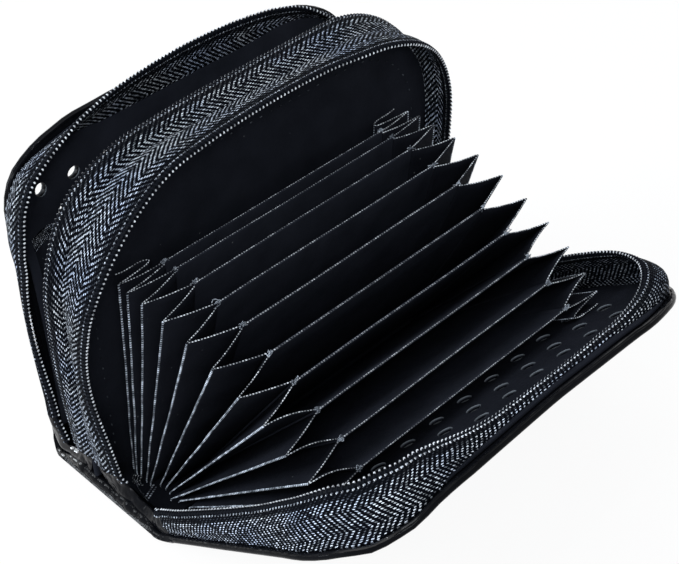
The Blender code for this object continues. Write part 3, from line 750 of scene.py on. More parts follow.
def row_of(kind, name, rows, look, width, height, wire):
    """A piece with a loop or a stitch at each point. rows holds (points, x, y, z axes)."""
    points, *axes = (np.concatenate(part) for part in zip(*rows))
    mesh = bpy.data.meshes.new(name)
    mesh.from_pydata((points * MM).tolist(), [], [])
    turns = [Matrix(np.stack(frame_axes, 1).tolist()).to_euler()[:] for frame_axes in zip(*axes)]
    stored = mesh.attributes.new("turn", "FLOAT_VECTOR", "POINT")
    stored.data.foreach_set("vector", np.array(turns, np.float32).ravel())
    mesh.materials.append(look)
    source = linked(name + "_points", mesh)
    group, sizes = repeat_tree(kind, look)
    modifier = source.modifiers.new("row", "NODES")
    modifier.node_group = group
    for key, value in (("Width", width), ("Height", height), ("Wire", wire)):
        modifier[sizes[key]] = value * MM
    view = bpy.context.evaluated_depsgraph_get()
    made_mesh = bpy.data.meshes.new_from_object(source.evaluated_get(view))
    made = linked(name, made_mesh)
    made_mesh.name = name
    source.modifiers.remove(modifier)
    bpy.data.objects.remove(source)
    return made


def spaced(line, pitch, *others):
    """Points at an even pitch along a line, and the others read at the same places."""
    length = run_length(line)
    at = np.arange(pitch / 2, length[-1], pitch)
    return [np.stack([np.interp(at, length, column) for column in values.T], 1)
            for values in (line, *others)]


# The zips

# Places along the rim, from the near end to the far end, that the lists in ZIPS hold values for.
SHARES = (0, .05, .1, .15, .19, .235, .285, .33, .38, .43, .5, .57, .62, .67, .715, .76, .81,
          .9, 1.0)
# For each half zip: side is the face of the leaf, seam and inset the distances of the tape's seam
# and coil in from the rim, low and height their heights, and bulge how far the tape bows out.
ZIPS = {
    "front_cover": dict(
        leaf=FRONT, side=1, low=1.05, start=3.0,
        seam=[1.2] * 7 + [1.8, 2.8, 3.6, 3.8, 4.4, 5.0, 3.8, 1.3] + [1.0] * 4,
        inset=[.8, 1.8, 3.2, 4.6, 5.5, 5.5, 5.6, 5.8, 6.0, 6.2, 6.2, 6.4, 7.0, 6.4, 4.2, 3.2, 3.3,
               2.8, 1.4],
        height=[6.3, 6.6, 6.8, 7.3, 8.9, 10.3, 10.6, 8.9, 5.7, 2.9, 2.1, 2.1, 2.5, 3.6, 6.0, 8.8,
                10.2, 10.0, 8.0],
        bulge=[.7] * 13 + [.9, 2.2, 2.0, .9, .7, .7]),
    "partition_card": dict(
        leaf=PARTITION, side=-1, low=.15,
        seam=[.9] + [.1] * 17 + [.9],
        inset=[1.2, 0, -1, -1.4, -1, 0, .4, 0, -1, -1.6, -1.6, -1.4, -.8, -.6, -1, -1.4, -1.2, 0,
               1.2],
        height=[8.6, 6.9, 5.0, 5.8, 8.2, 10.3, 10.7, 9.7, 8.4, 7.4, 6.3, 6.2, 7.9, 8.8, 7.4, 6.1,
                6.6, 7.0, 7.0]),
    "partition_cash": dict(
        leaf=PARTITION, side=1, low=.15,
        seam=[.9] + [.1] * 17 + [.9],
        inset=[1.2, 0, -1.2] + [-1.6] * 13 + [-1.2, 0, 1.2],
        height=[6.6, 5.9, 4.9, 4.0, 3.3, 2.7, 4.9, 4.3, 4.4, 5.6, 5.9, 6.2, 6.2, 6.0, 5.9, 5.9,
                6.1, 6.3, 6.5]),
    "rear_cover": dict(
        leaf=REAR, side=-1, low=[-.2, -.3, -.3, -.3, -.2, 0, .5, 1] + [1.05] * 11,
        seam=[-.3, -.4, -.4, -.4, -.3, .2, 1.4, 3.2, 5.2, 5.8, 6.0, 5.8, 5.2, 3.8, 2.6, 2.0, 1.8,
              1.6, 1.4],
        inset=[-.6, -1.6, -2.2, -2.2, -1.6, -1.0, -.4, -.2, -1.2, -2.2, -2.6, -2.2, -1.2, .4, 1.6,
               2.6, 3.2, 2.2, 1.2],
        height=[3.2, 2.2, 2.0, 2.8, 5.0, 7.6, 8.2, 6.3, 4.8, 4.0, 3.0, 2.5, 2.5, 3.4, 4.4, 5.0,
                4.6, 4.4, 4.4]),
}


def rim_line(reach, start=TAPE_START):
    """The rim round three sides from the near end: u, y, outward direction and share."""
    straight, arc = reach - CORNER - TAPE_START, CORNER * math.pi / 2
    top = 2 * (HALF_LENGTH - CORNER)
    total = 2 * straight + 2 * arc + top
    extra = TAPE_START - start
    s = np.linspace(-extra, total + extra, int(total / RIM_STEP) + 1)
    turn = np.clip((s - straight) / arc, 0, 1) * math.pi / 2
    back = np.clip((s - straight - arc - top) / arc, 0, 1) * math.pi / 2
    u = (np.minimum(s, straight) + TAPE_START + CORNER * np.sin(turn)
         - CORNER * (1 - np.cos(back)) - np.maximum(s - straight - 2 * arc - top, 0))
    y = (-HALF_LENGTH + CORNER * (1 - np.cos(turn)) + np.clip(s - straight - arc, 0, top)
         + CORNER * np.sin(back))
    whole = turn + back
    return u, y, np.sin(whole), -np.cos(whole), np.clip(s / total, 0, 1)


def along_rim(leaf, inset, n):
    """A line round a leaf's rim, inset from it and n off the leaf's plane."""
    u, y, nu, ny, _ = rim_line(leaf.reach)
    return leaf.at(u - nu * inset, y - ny * inset, n)


def eased(share, table):
    """A table's values along a rim, with its corners rounded off."""
    steps, half_width, spread = 400, 22, 7.5
    fine = np.linspace(0, 1, steps)
    values = np.interp(fine, SHARES, np.broadcast_to(table, len(SHARES)))
    kernel = np.exp(-.5 * (np.arange(-half_width, half_width + 1) / spread) ** 2)
    values = np.convolve(np.pad(values, half_width, mode="edge"), kernel / kernel.sum(), "valid")
    return np.interp(share, fine, values)


def zip_lines(leaf, side, low, seam, inset, height, start=TAPE_START, bulge=.7):
    """A tape's rows of points from its seam to its free edge."""
    u, y, nu, ny, share = rim_line(leaf.reach, start)
    low, seam, inset, height, bulge = (
        eased(share, table) for table in (low, seam, inset, height, bulge))
    rows = []
    for t in np.linspace(0, 1, 9):
        out = bulge * math.sin(math.pi * t)
        drawn = seam * (1 - t) + inset * t - out
        rise = low * (1 - t) + height * t + .36 * out
        rows.append(leaf.at(u - nu * drawn, y - ny * drawn, side * rise))
    return np.array(rows)


def make_tape(name, rows, look):
    """Herringbone tape through rows of points, the last its free edge, plain beside the coil."""
    width = np.cumsum(np.linalg.norm(np.diff(rows, axis=0, prepend=rows[:1]), axis=2), axis=0)
    left = width[-1] - width
    plain, fade = 2.4, 1.2
    return sheet_piece(name, look, rows, TAPE_THICK, stacked(run_length(rows[0]), left),
                       ease((plain - left) / fade))


def make_coil(name, lines):
    """The coil's loops with the dark stitches over them, and a cord through its middle."""
    pitch, lean, off_edge = 1.08, math.radians(20), .35
    loops, stitches = [], []
    cord = Form()
    for rows in lines:
        out = unit(rows[-1] - rows[-2])
        way = unit(np.gradient(rows[-1], axis=0))
        middle = rows[-1] + out * off_edge
        at, *axes = spaced(middle, pitch, way, out, unit(np.cross(way, out)))
        w, o, n = (unit(axis) for axis in axes)
        x = unit(o * math.cos(lean) + w * math.sin(lean))
        z = unit(np.cross(x, n))
        n = unit(np.cross(z, x))
        loops.append((at, x, n, z))
        for face in (1, -1):
            spot = at + n * face * .40 - o * .62
            stitches.append((spot, n * face, np.cross(w, n * face), w))
        tube(cord, middle[::2], .40)
    ring = row_of("coil", name, loops, NYLON, width=1.75, height=.60, wire=.21)
    sewn = row_of("stitch", name + "_stitches", stitches, COIL_THREAD, width=.42, height=.40,
                  wire=.13)
    return [ring, sewn, cord.piece(name + "_cord", DARK_NYLON)]


def on(body, *pieces):
    for piece in pieces:
        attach(piece, body)


def stands_for(node):
    """Hides the solid that a piece is put in the place of."""
    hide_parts(node)


def zips():
    """The four half zips. Returns the rows of points of each."""
    made = {}
    for name, zip_side in ZIPS.items():
        rows = zip_lines(**zip_side)
        tape = make_tape(name + "_herringbone_tape", rows,
                         HERRINGBONE if name == "front_cover" else FINE_HERRINGBONE)
        coil = make_coil(name + "_coil", [rows])
        on({"front_cover": "front_unit", "rear_cover": "rear_unit"}.get(name, ROOT), tape, *coil)
        stands_for(name + "_zip_tape")
        stands_for(name + "_zip_coil")
        made[name] = rows
    return made


def foot_band(word, points, bare):
    """The turned-in ends of a zip's tape across the spine's ends, the coil run out on each.
    points holds the band's low and high edge from body to body, in x, y and z. bare is the part
    of it, from one share to another, that has no coil."""
    stations = smooth_line(points, 6)
    for end, side in (("near", -1), ("far", 1)):
        rows = []
        for t in np.linspace(0, 1, 7):
            row = stations[:, :3] * (1 - t) + stations[:, 3:] * t
            row[:, 1] = (row[:, 1] + .5 * math.sin(math.pi * t)) * side
            rows.append(row)
        rows = np.array(rows)
        size = len(stations)
        puckers = .22 * waves(rows, 61, 3.2) + .22 * waves(rows, 62, 7)
        puckers *= np.sin(math.pi * np.linspace(0, 1, size)) ** .5
        rows = rows + puckers[..., None] * np.array([0, side, .4])
        name = f"{word}_zip_foot_{end}"
        band = sheet_piece(name, TURNED, rows, TAPE_THICK)
        runs = [rows[:, :int(size * bare[0])], rows[:, int(size * bare[1]):]]
        for piece in (band, *make_coil(name + "_coil", runs)):
            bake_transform(piece)
        stands_for(f"{word}_zip_end_{end}")


def zip_end_details():
    """The card zip's woven end tab at the near end, the bar tack beside it and a loose thread."""
    width, height = 2.6, 2.5
    over = np.linspace(0, 1, 7)
    up = np.linspace(0, 1, 6)[:, None]
    rows = stacked(3.0 + 2.3 * over, -49.7 + .8 * over - .25 * np.sin(math.pi * over),
                   2.9 + height * up + .5 * over * up)
    tab = sheet_piece("card_zip_end_tab", HEM_WEAVE, rows, .4, stacked(width * over, height * up))
    rows = []
    for x in (8.2, 9.1):
        line = np.array([(x - .25 * k, -50.2 + .62 * k, 2.62) for k in range(6)])
        rows.append([line] + [np.tile(axis, (len(line), 1))
                              for axis in ((0, 0, 1.0), (-.93, -.37, 0), (-.37, .93, 0))])
    dots = row_of("stitch", "card_zip_bar_tack", rows, COIL_THREAD, width=.52, height=.34, wire=.15)
    form = Form()
    tube(form, smooth_line([(1.0, -47.4, 5.4), (2.6, -48.6, 5.0), (4.8, -50.0, 3.4),
                            (7.4, -50.6, 2.7), (9.6, -50.9, 2.6)], 8), .08, 5)
    on(ROOT, tab, dots, form.piece("card_zip_loose_thread", FAINT))


def zip_feet(lines):
    """Bands that carry the zips from the covers' tapes over the spine to the partition's."""
    def ends(name):
        low, high = lines[name][[0, -1], 0]
        return (low[0], abs(low[1]), low[2], high[0], abs(high[1]), high[2])

    points = [ends("front_cover"),
              (19.4, 54.3, 2.6, 17.2, 54.0, 6.6), (15.0, 54.1, 2.4, 14.4, 53.4, 5.4),
              (9.5, 54.1, 2.4, 10.6, 53.2, 5.2), (2.4, 54.2, 3.0, 7.6, 53.4, 6.6),
              ends("partition_card")]
    foot_band("card", points,
              (.30, .90))
    points = [ends("partition_cash"),
              (-6.2, 54.3, 3.4, -8.2, 53.8, 6.2), (-9.5, 54.2, 2.6, -10.2, 53.4, 5.0),
              (-14.5, 54.2, 2.6, -13.4, 53.4, 4.6), (-18.0, 54.5, 3.4, -15.4, 54.0, 5.2),
              ends("rear_cover")]
    foot_band("cash", points,
              (.24, .80))


# Covers and spine

def hole_rows(leaf, top, shift, clear):
    """The vent holes' places: three rows along the opening side, the middle one set between.
    top is the first row's distance from the rim, clear the least of a hole's edge from it."""
    row_gap, pitch, end_gap = 7.7, 9.0, 12.5
    places = []
    for k in range(3):
        u = REACH - top - row_gap * k
        for step in range(-9, 10):
            y = shift + pitch * step - (pitch / 2 if k == 1 else 0)
            if abs(y) < HALF_LENGTH - end_gap and leaf.depth(u, y) > clear + HOLE_RADIUS:
                places.append((u, y))
    return places


def hinge_strip(word, leaf, side):
    """The leather that turns from the spine into a cover, as one skin with rolled ends."""
    spine_x, cover_u, spine_run, cover_run = 16.6, 3.4, 2.2, 2.1
    a = np.array([side * spine_x, HALF_LEATHER])
    d = leaf.at(cover_u, 0, 0)[[0, 2]]
    along = np.array([math.cos(leaf.turn), math.sin(leaf.turn)])
    b, c = a + (side * spine_run, 0), d - along * cover_run
    t = np.linspace(0, 1, 11)[:, None]
    line = (1 - t) ** 3 * a + 3 * t * (1 - t) ** 2 * b + 3 * t * t * (1 - t) * c + t ** 3 * d
    x, z = line.T
    t = t[:, 0]
    size = len(t)
    edge_y, inner_y = HALF_LENGTH - .35, HALF_LENGTH - 1.0
    ys = np.concatenate([[-edge_y], np.linspace(-inner_y, inner_y, 41), [edge_y]])
    drawn = .024 if side < 0 else .009
    rounded = 1 - drawn * ease(t * .8 + .1) ** .8
    grid = stacked(x, ys[:, None] * rounded, z)
    normal = leaf.normal()
    grid += (waves(grid, 5, 9) * .10 * np.sin(math.pi * t))[..., None] * normal
    form = Form()
    cloth(form, grid, 2 * HALF_LEATHER + .06, stacked(ys[:, None], np.linspace(0, 8, size)))
    for end in (-1, 1):
        edge = stacked(x, end * (HALF_LENGTH - .75) * rounded, z)
        edge += np.linspace(.12, .30, size)[:, None] * normal
        inner = [(side * place, end * inner_y, .95) for place in (13.6, 15.2)]
        outer = leaf.at((5.0, 6.6, 8.4), end * (HALF_LENGTH - .55), .1)
        edge = smooth_line(np.concatenate([inner, edge[::2], outer]), 4)
        wide = np.interp(np.linspace(0, 1, len(edge)), [0, .15, .5, 1], [.7, .92, .84, .36])
        tube(form, edge, wide * (1 + .10 * waves(edge, 14, 2.2)), 12, look=1)
    piece = form.piece(f"{word}_hinge_skin", LEATHER, TURNED)
    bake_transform(piece)


def rim_bead(form, leaf, n):
    """A rolled leather edge along a cover's rim, n off the leaf's plane."""
    u, y, nu, ny, _ = rim_line(leaf.reach)
    start = np.linspace(3.1, TAPE_START, 6, endpoint=False)
    flat_run = np.zeros(len(start))
    u = np.concatenate([start, u, start[::-1]])
    y = np.concatenate([flat_run - HALF_LENGTH, y, flat_run + HALF_LENGTH])
    nu = np.concatenate([flat_run, nu, flat_run])
    ny = np.concatenate([flat_run - 1, ny, flat_run + 1])
    inset, radius = .52, .44
    line = leaf.at(u - nu * inset, y - ny * inset, n)
    steps = np.arange(len(line))
    ends = ease(np.minimum(steps, steps[::-1]) / 5)
    tube(form, line, radius * (1 + .10 * waves(line, 11, 6)) * (.55 + .45 * ends), 8, flat=.8)


def stitch_row(name, lines, look, body, pitch, length, thick):
    """Sewing stitches along lines of (points, surface normal)."""
    rows = []
    for line, normal in lines:
        way = unit(np.gradient(line, axis=0))
        at, w, n = spaced(line, pitch, way, np.broadcast_to(normal, line.shape))
        w, n = unit(w), unit(n - w * np.sum(n * w, 1, keepdims=True))
        slant = unit(w + .16 * np.cross(n, w))
        rows.append((at, n, np.cross(slant, n), slant))
    on(body, row_of("stitch", name, rows, look, width=length, height=thick, wire=thick * .42))


def cover(word, leaf, inward, holes, slack):
    """A cover's leather with its holes and rolled edge, its stitches and its lining, that wanders
    up to slack off its plane. inward is the side of the leaf's plane that the lining lies on."""
    body = f"{word}_unit"
    form = Form()
    panel(form, leaf, 2.6, 0.0, -HALF_LEATHER, HALF_LEATHER, .55, holes)
    leather = form.piece(word + "_cover_skin", LEATHER)
    edge = Form()
    rim_bead(edge, leaf, inward * (HALF_LEATHER - .12))
    bead = edge.piece(word + "_cover_rolled_edge", TURNED)
    low, high = sorted((inward * LINING_LOW, inward * LINING_HIGH))

    def swell(u, y):
        wander = waves(stacked(u, y, 0), 3 if inward > 0 else 4, 26)
        return slack * wander * ease((leaf.depth(u, y) - 3) / 12)

    form = Form()
    panel(form, leaf, 3.0, 2.0, low, high, .3, holes, swell)
    lining = form.piece(word + "_cover_lining_cloth", FRONT_LINING if inward > 0 else LINING)
    line = along_rim(leaf, 2.6, -inward * (HALF_LEATHER + .05))
    stitch_row(word + "_cover_edge_stitches", [(line, -inward * leaf.normal())], BLACK_THREAD, body,
               pitch=3.0, length=2.3, thick=.42)
    on(body, leather, bead, lining)
    stands_for(word + "_cover_leather")
    stands_for(word + "_cover_lining")


def spine():
    """The spine's leather with its turned ends, and its lining."""
    half_skin, half_turned, half_lining, lining_end = 17.4, 16.7, 17.0, 50.6
    xs = np.linspace(-half_skin, half_skin, 25)
    end = np.linspace(50.2, HALF_LENGTH - .5, 10)
    ys = np.concatenate([-end[::-1], np.linspace(-49.4, 49.4, 33), end])[:, None]
    skin = sheet_piece("spine_skin", LEATHER, stacked(xs, ys, .8), 1.56, stacked(ys, xs))
    form = Form()
    for side in (-1, 1):
        along = np.linspace(-half_turned, half_turned, 170)
        line = stacked(along, 54.6 * side, 1.9)
        fade = ease((half_turned - np.abs(along)) / 5)
        fold = .4 * waves(line, 8, 7) + .6 * waves(line, 9, 2.6)
        deep = (.84 + .80 * fade) * (1 + .26 * fold * fade)
        drift = (.15 * waves(line, 12, 6) - .15) * fade - .15
        line[:, 1] += side * drift
        line[:, 2] = .05 + deep * .95
        tube(form, line, deep, 14, flat=.72, up=(0.0, 1.0, 0.0))
    turned = form.piece("spine_turned_ends", TURNED)
    xs = np.linspace(-half_lining, half_lining, 25)
    ys = np.linspace(-lining_end, lining_end, 41)[:, None]
    grid = stacked(xs, ys, 2.2)
    grid[:, :, 2] += .08 * waves(grid, 21, 14)
    lining = sheet_piece("spine_lining_cloth", SPINE_CLOTH, grid, .5, stacked(ys, xs))
    on(ROOT, skin, turned, lining)
    stands_for("spine_leather")
    stands_for("spine_lining")


def partition():
    """The stiff panel between the card pockets and the rear compartment."""
    def swell(u, y):
        return .28 * ease(PARTITION.depth(u, y) / 9) + .10 * waves(stacked(u, y, 0), 31, 30)

    form = Form()
    panel(form, PARTITION, 2.9, .6, -.8, .8, .5, swell=swell)
    board = form.piece("partition_board", PANEL)
    lines = [(along_rim(PARTITION, 6.4, side * 1.12), side * PARTITION.normal())
             for side in (-1, 1)]
    stitch_row("partition_stitches", lines, FAINT, ROOT, pitch=2.9, length=.7, thick=.30)
    on(ROOT, board)
    stands_for("partition_panel")


# The pockets

def tack(form, heart, side, rng):
    """Short loose-ended threads that hold a divider's corner."""
    for j in range(9):
        way = rng.normal(size=3) * (.34, .85, .5)
        way[1] += side * rng.uniform(-.4, .8)
        bend = rng.normal(size=3) * (.22, .42, .42)
        end = heart + way * .75
        start = heart - way * .35 + rng.normal(size=3) * (.15, .25, .25)
        middle = (start + end) / 2 + bend + (0, 0, .15)
        tube(form, smooth_line([start, middle, end], 4), .10, 5, look=1, start=j * 3.0)


def dividers():
    """Ten cloth walls with the pale fold along each top, and the tacks at its ends."""
    top = DIVIDER_HEIGHT
    us = np.concatenate([np.linspace(.2, top - 3, 15), [top - 1.6, top - .6, top - .1]])[:, None]
    ys = np.linspace(-HALF_DIVIDER, HALF_DIVIDER, 31)
    for k, leaf in enumerate(WALLS):
        node, body = f"divider_{k + 1:02d}", f"pocket_wall_{k + 1:02d}"
        fade = ease((HALF_DIVIDER - np.abs(ys)) / 8) * ease(us / 20)
        grid = leaf.at(us, ys, .16 * waves(stacked(us, ys, 40.0 * k), 40 + k, 45) * fade)
        wall = sheet_piece(node + "_wall", WALL, grid, WALL_THICK, stacked(ys, us))
        on(body, wall)
        stands_for(node)
        form = Form()
        tube(form, grid[-1] + leaf.at(.12, 0, 0) - leaf.at(0, 0, 0), .14)
        rng = np.random.default_rng(70 + k)
        for side in (-1, 1):
            tack(form, leaf.at(top + .05, side * (HALF_DIVIDER - .2), 0), side, rng)
        on(body, form.piece(node + "_fold_and_tacks", FOLD, TACK))


def closed_share(a, b):
    """How much of the room between two leaves is left at their tops when the wallet is closed.
    a and b hold (fold x, fold z, degrees open, degrees closed)."""
    def gap(angle_a, angle_b):
        turn_a, turn_b = math.radians(angle_a), math.radians(angle_b)
        away_x = a[0] + DIVIDER_HEIGHT * math.cos(turn_a) - b[0]
        away_z = a[1] + DIVIDER_HEIGHT * math.sin(turn_a) - b[1]
        return math.cos(turn_b) * away_z - math.sin(turn_b) * away_x

    return gap(a[3], b[3]) / gap(a[2], b[2])


def gusset_section(k, level, side):
    """The fold points of a gusset's section at a level from 0 at the foot to 1 at its top."""
    u = .5 + (DIVIDER_HEIGHT - 1.0) * level
    deep = TIP + .4 + (3.0 if k < 5 else 1.6 if k < 8 else 2.6) * (1 - level) ** 1.2
    on_wall = .36
    lifted = 3.0 * (1 - level) ** 2 if k == 10 else 0.0
    back = (WALLS[k - 1].at(u + lifted, 0, -on_wall) if k
            else PARTITION.at(u + 3.2, 0, -1.35))
    fore = (WALLS[k].at(u, 0, on_wall) if k < 10
            else FRONT.at(u - 1.3 + 1.3 * lifted, 0, LINING_HIGH + .25))
    # Each fold's distance out from the walls' ends, and its share of the way between them.
    shares = [(.2, 0), (deep, .5), (.2, 1)]
    if k == 0:
        shares = [(9.4, 0), (2.8, .02), (1.0, .26), (2.8, .50), (deep, .70), (.2, 1)]
    if k == 10:
        shares = [(.2, 0), (deep, .30), (2.8, .50), (1.0, .74), (2.8, .98), (9.4, 1)]
    return [back + (fore - back) * s + (0, side * (HALF_DIVIDER + out), 0) for out, s in shares]


def rounded_folds(grid, folds, hairpin, soft):
    """Rounds a gusset's folds: its tips a little, its hairpin fold more, soft loops most."""
    at = np.arange(grid.shape[1])
    passes = np.zeros(len(at), int)
    for m in range(1, folds - 1):
        if hairpin and folds == 6 and abs(m - hairpin) <= 1:
            wide, many = (10, 60) if soft else (7, 24)
        else:
            wide, many = (5, 26) if m == hairpin else (2, 4) if hairpin else (1, 1)
        near = np.abs(at - FOLD_STEPS * m) <= wide
        passes[near] = np.maximum(passes[near], many)
    passes[[0, -1]] = 0
    for turn in range(passes.max()):
        moved = .5 * grid[:, 1:-1] + .25 * (grid[:, :-2] + grid[:, 2:])
        active = passes[1:-1] > turn
        grid[:, 1:-1][:, active] = moved[:, active]
    return grid


def gusset_grid(k, side, levels):
    """A gusset's cloth as rows of points from its foot up, and the number of its fold points."""
    sections = np.array([gusset_section(k, level, side) for level in levels])
    folds = sections.shape[1]
    steps = np.linspace(0, 1, FOLD_STEPS + 1)[:-1]
    spread = [(m, t) for m in range(folds - 1) for t in steps] + [(folds - 2, 1.0)]
    across = sections[-1, -1] - sections[-1, 0]
    sag, last_arch = -.35, {7: .9, 8: .9, 9: 1.3}.get(k, -.35)
    grid = np.zeros((len(levels), len(spread), 3))
    for j, (m, t) in enumerate(spread):
        bow = math.sin(math.pi * t)
        line = sections[:, m] * (1 - t) + sections[:, m + 1] * t
        line += np.outer(ease(levels), across * .04 * bow * (sag if m % 2 else -sag))
        line[:, 2] += (last_arch if m == folds - 2 else sag) * bow * levels ** 3
        grid[:, j] = line
    grid = rounded_folds(grid, folds, {0: 2, 10: 3, 9: 3}.get(k), k == 10 and side > 0)
    grid += .06 * waves(grid, 90 + k, 7)[..., None] * np.array([1, 0, 0])
    slack = .30 * waves(grid, 120 + k, 15) * (1 - levels[:, None])
    return grid + slack[..., None] * np.array([.6, .5, 0]), folds


def gusset_cords(form, k, side, grid, folds):
    """The cords along a gusset's top edge and its folds, those at its tips with a bent tail."""
    tube(form, grid[-1] + (0, 0, .10), .125, 5)
    for m in {0: (2, 4), 10: (1, 3)}.get(k, (1,)):
        tip = folds == 3 or (k, m) in ((0, 4), (10, 1))
        line = grid[:, FOLD_STEPS * m] + (0, side * (.12 if tip else -.12), 0)
        if tip:
            way = unit(line[0] - line[1])
            bend = .9 + .03 * k
            tail = [line[0] + bend * (way * math.sin(a) + (1 - math.cos(a)) * np.array([.3, 0, -1]))
                    for a in (1.35, .9, .45)]
            line = np.concatenate([tail, line])
            line[:, 2] = np.maximum(line[:, 2], 2.8)
        line = smooth_line(line, 4)
        wide = np.interp(np.linspace(0, 1, len(line)), [0, .1, .5, 1], [.10, .15, .21, .24])
        tube(form, line, wide if tip else .13, look=1, start=7.0 * k)


def gussets():
    """The folded cloth between the walls at both ends, its pale top edges and its tips."""
    levels = np.concatenate([np.linspace(0, .9, 12), [.96, 1.0]])
    for k in range(11):
        seams = Form()
        for word, side in (("near", -1), ("far", 1)):
            grid, folds = gusset_grid(k, side, levels)
            length = run_length(grid[-1])
            node = f"gusset_{word}_{k:02d}"
            piece = sheet_piece(node + "_cloth", GUSSET, grid, GUSSET_THICK,
                                stacked(length, levels[:, None] * GUSSET_HEIGHT), smooth=60)
            settle_gusset(piece, k)
            stands_for(node)
            gusset_cords(seams, k, side, grid, folds)
        settle_gusset(seams.piece(f"gusset_{k:02d}_edges_and_tips", FOLD, TIP_RIB), k)


def settle_gusset(piece, k):
    """Sets a gusset's piece on its wall."""
    def row(j):
        return (FOOT_X[j], FOOT_Z, DIVIDER_ANGLES[j], CLOSED_ANGLES[j])

    if k == 10:
        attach(piece, "front_unit")
        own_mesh(piece)
        return
    before = row(k - 1) if k else (PARTITION_X + 1.0, 0.0, PARTITION_DEGREES, PARTITION_DEGREES)
    keep = closed_share(before, row(k))
    leaf = WALLS[k]
    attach(piece, f"pocket_wall_{k + 1:02d}")
    tuple(leaf.normal())
    tuple(leaf.at(0, 0, 0) * MM)
    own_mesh(piece)


def cash_gussets():
    """The folded cloth at each end of the rear compartment, with its woven hem."""
    foot, rise, end, tuck, arch, height = 4.0, 50.5, 47.1, 4.3, 8.2, 49.0
    hem_depth = np.linspace(0, 2.6, 5)[:, None]
    levels = np.linspace(0, 1, 14)[:, None]
    over = np.linspace(0, 1, 13)
    up = (foot + rise * levels)[:, 0]
    back = REAR.at(up, 0, -LINING_HIGH - .25)[:, None]
    fore = PARTITION.at(up + 1.0, 0, 1.35)[:, None]
    drawn_in = tuck * (1 - np.abs(2 * over - 1)) ** .85
    for word, side in (("near", -1), ("far", 1)):
        grid = back + (fore - back) * over[:, None] + stacked(0, side * (end - drawn_in), 0)
        grid[..., 2] += arch * np.sin(math.pi * over) ** .8 * levels ** 3
        grid += .15 * waves(grid, 77, 12)[..., None] * np.array([0, 1, 0])
        length = run_length(grid[-1])
        node = f"cash_gusset_{word}"
        piece = sheet_piece(node + "_cloth", GUSSET, grid, .45, stacked(length, levels * height),
                            smooth=60)
        band = grid[-1] + unit(grid[-2] - grid[-1]) * hem_depth[..., None] + (0, 0, .1)
        hem = sheet_piece(node + "_hem", HEM_WEAVE, band, .95, stacked(length, hem_depth))
        for part in (piece, hem):
            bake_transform(part)
        stands_for(node)


# Sliders and pulls

def rounded_block(form, centre, size, radius, top_share=1.0):
    """A block with rounded edges, its width drawn in to a share at its top."""
    work = bmesh.new()
    bmesh.ops.create_cube(work, size=1.0)
    for v in work.verts:
        v.co.x *= size[0] * (1 + (top_share - 1) * (v.co.z + .5))
        v.co.y *= size[1]
        v.co.z *= size[2]
    bmesh.ops.bevel(work, geom=list(work.edges), offset=radius, segments=3, affect="EDGES",
                    profile=.5)
    work.verts.index_update()
    points = np.array([v.co for v in work.verts]) + np.array(centre)
    form.add(points, [tuple(v.index for v in f.verts) for f in work.faces], points[:, :2])
    work.free()


def slider(word, x):
    """A zip slider at the far end of its row, with the bridge that holds its pull."""
    form = Form()
    rounded_block(form, (x, 56.5, 7.3), (7.0, 1.0, 8.8), .45, .72)
    rounded_block(form, (x, 55.35, 7.3), (6.8, .5, 8.4), .2, .72)
    rounded_block(form, (x, 56.0, 8.4), (1.8, 1.2, 5.6), .4)
    arch = smooth_line([(x, 56.9, 5.6), (x, 58.9, 6.1), (x, 59.6, 8.0), (x, 59.5, 9.9),
                        (x, 58.6, 11.0), (x, 56.9, 11.3)], 5)
    tube(form, arch, .5, 8, flat=1.5)
    body = form.piece(f"{word}_zip_slider_body", METAL)
    on(ROOT, body)
    stands_for(f"{word}_zip_slider")


def pull_tab(word, x):
    """The flat pull that hangs in a slider's bridge by its eye."""
    length, foot, tip, thick, rim, bevel = 15.0, 3.0, 2.4, 1.0, .5, .93
    eye_up, eye_wide, eye_high = 2.2, 1.7, 1.5
    hung_y, hung_z, lean = 58.7, 9.2, math.radians(-34.3)

    def oval(wide, high, up, turn):
        return stacked(wide * np.cos(turn), up + high * np.sin(turn))

    half_turn = np.linspace(0, math.pi, 9)
    outer = np.concatenate([oval(tip, tip, length - tip, half_turn),
                            oval(foot, foot * .62, foot * .45, half_turn + math.pi)])
    eye = oval(eye_wide, eye_high, eye_up, np.linspace(0, 2 * math.pi, 16, endpoint=False))
    flat, kept, (border, hole) = filled(
        [outer * bevel, eye], [],
        lambda u, v: math.hypot(u / eye_wide, (v - eye_up) / eye_high) <= .93)
    count, size = len(flat), len(outer)
    layers = ((flat, thick / 2), (flat, -thick / 2), (outer, rim / 2), (outer, -rim / 2))
    points = np.concatenate([np.column_stack([line, np.full(len(line), n)]) for line, n in layers])

    first = 2 * count
    rims = [list(range(first, first + size)), list(range(first + size, first + 2 * size))]
    hole = hole[::-1]
    faces = kept + [tuple(shifted_by(count, t[::-1])) for t in kept]
    faces += bands([border, *rims, shifted_by(count, border)])
    faces += bands([hole, shifted_by(count, hole)])
    u, v, n = points.T
    c, s = math.cos(lean), math.sin(lean)
    form = Form()
    form.add(stacked(u + x, hung_y + v * c - n * s, hung_z + v * s + n * c), faces, points[:, :2])
    piece = form.piece(f"{word}_zip_pull_tab", METAL, smooth=30)
    on(f"{word}_pull", piece)
    stands_for(f"{word}_zip_pull")


# Stage, lamps and camera

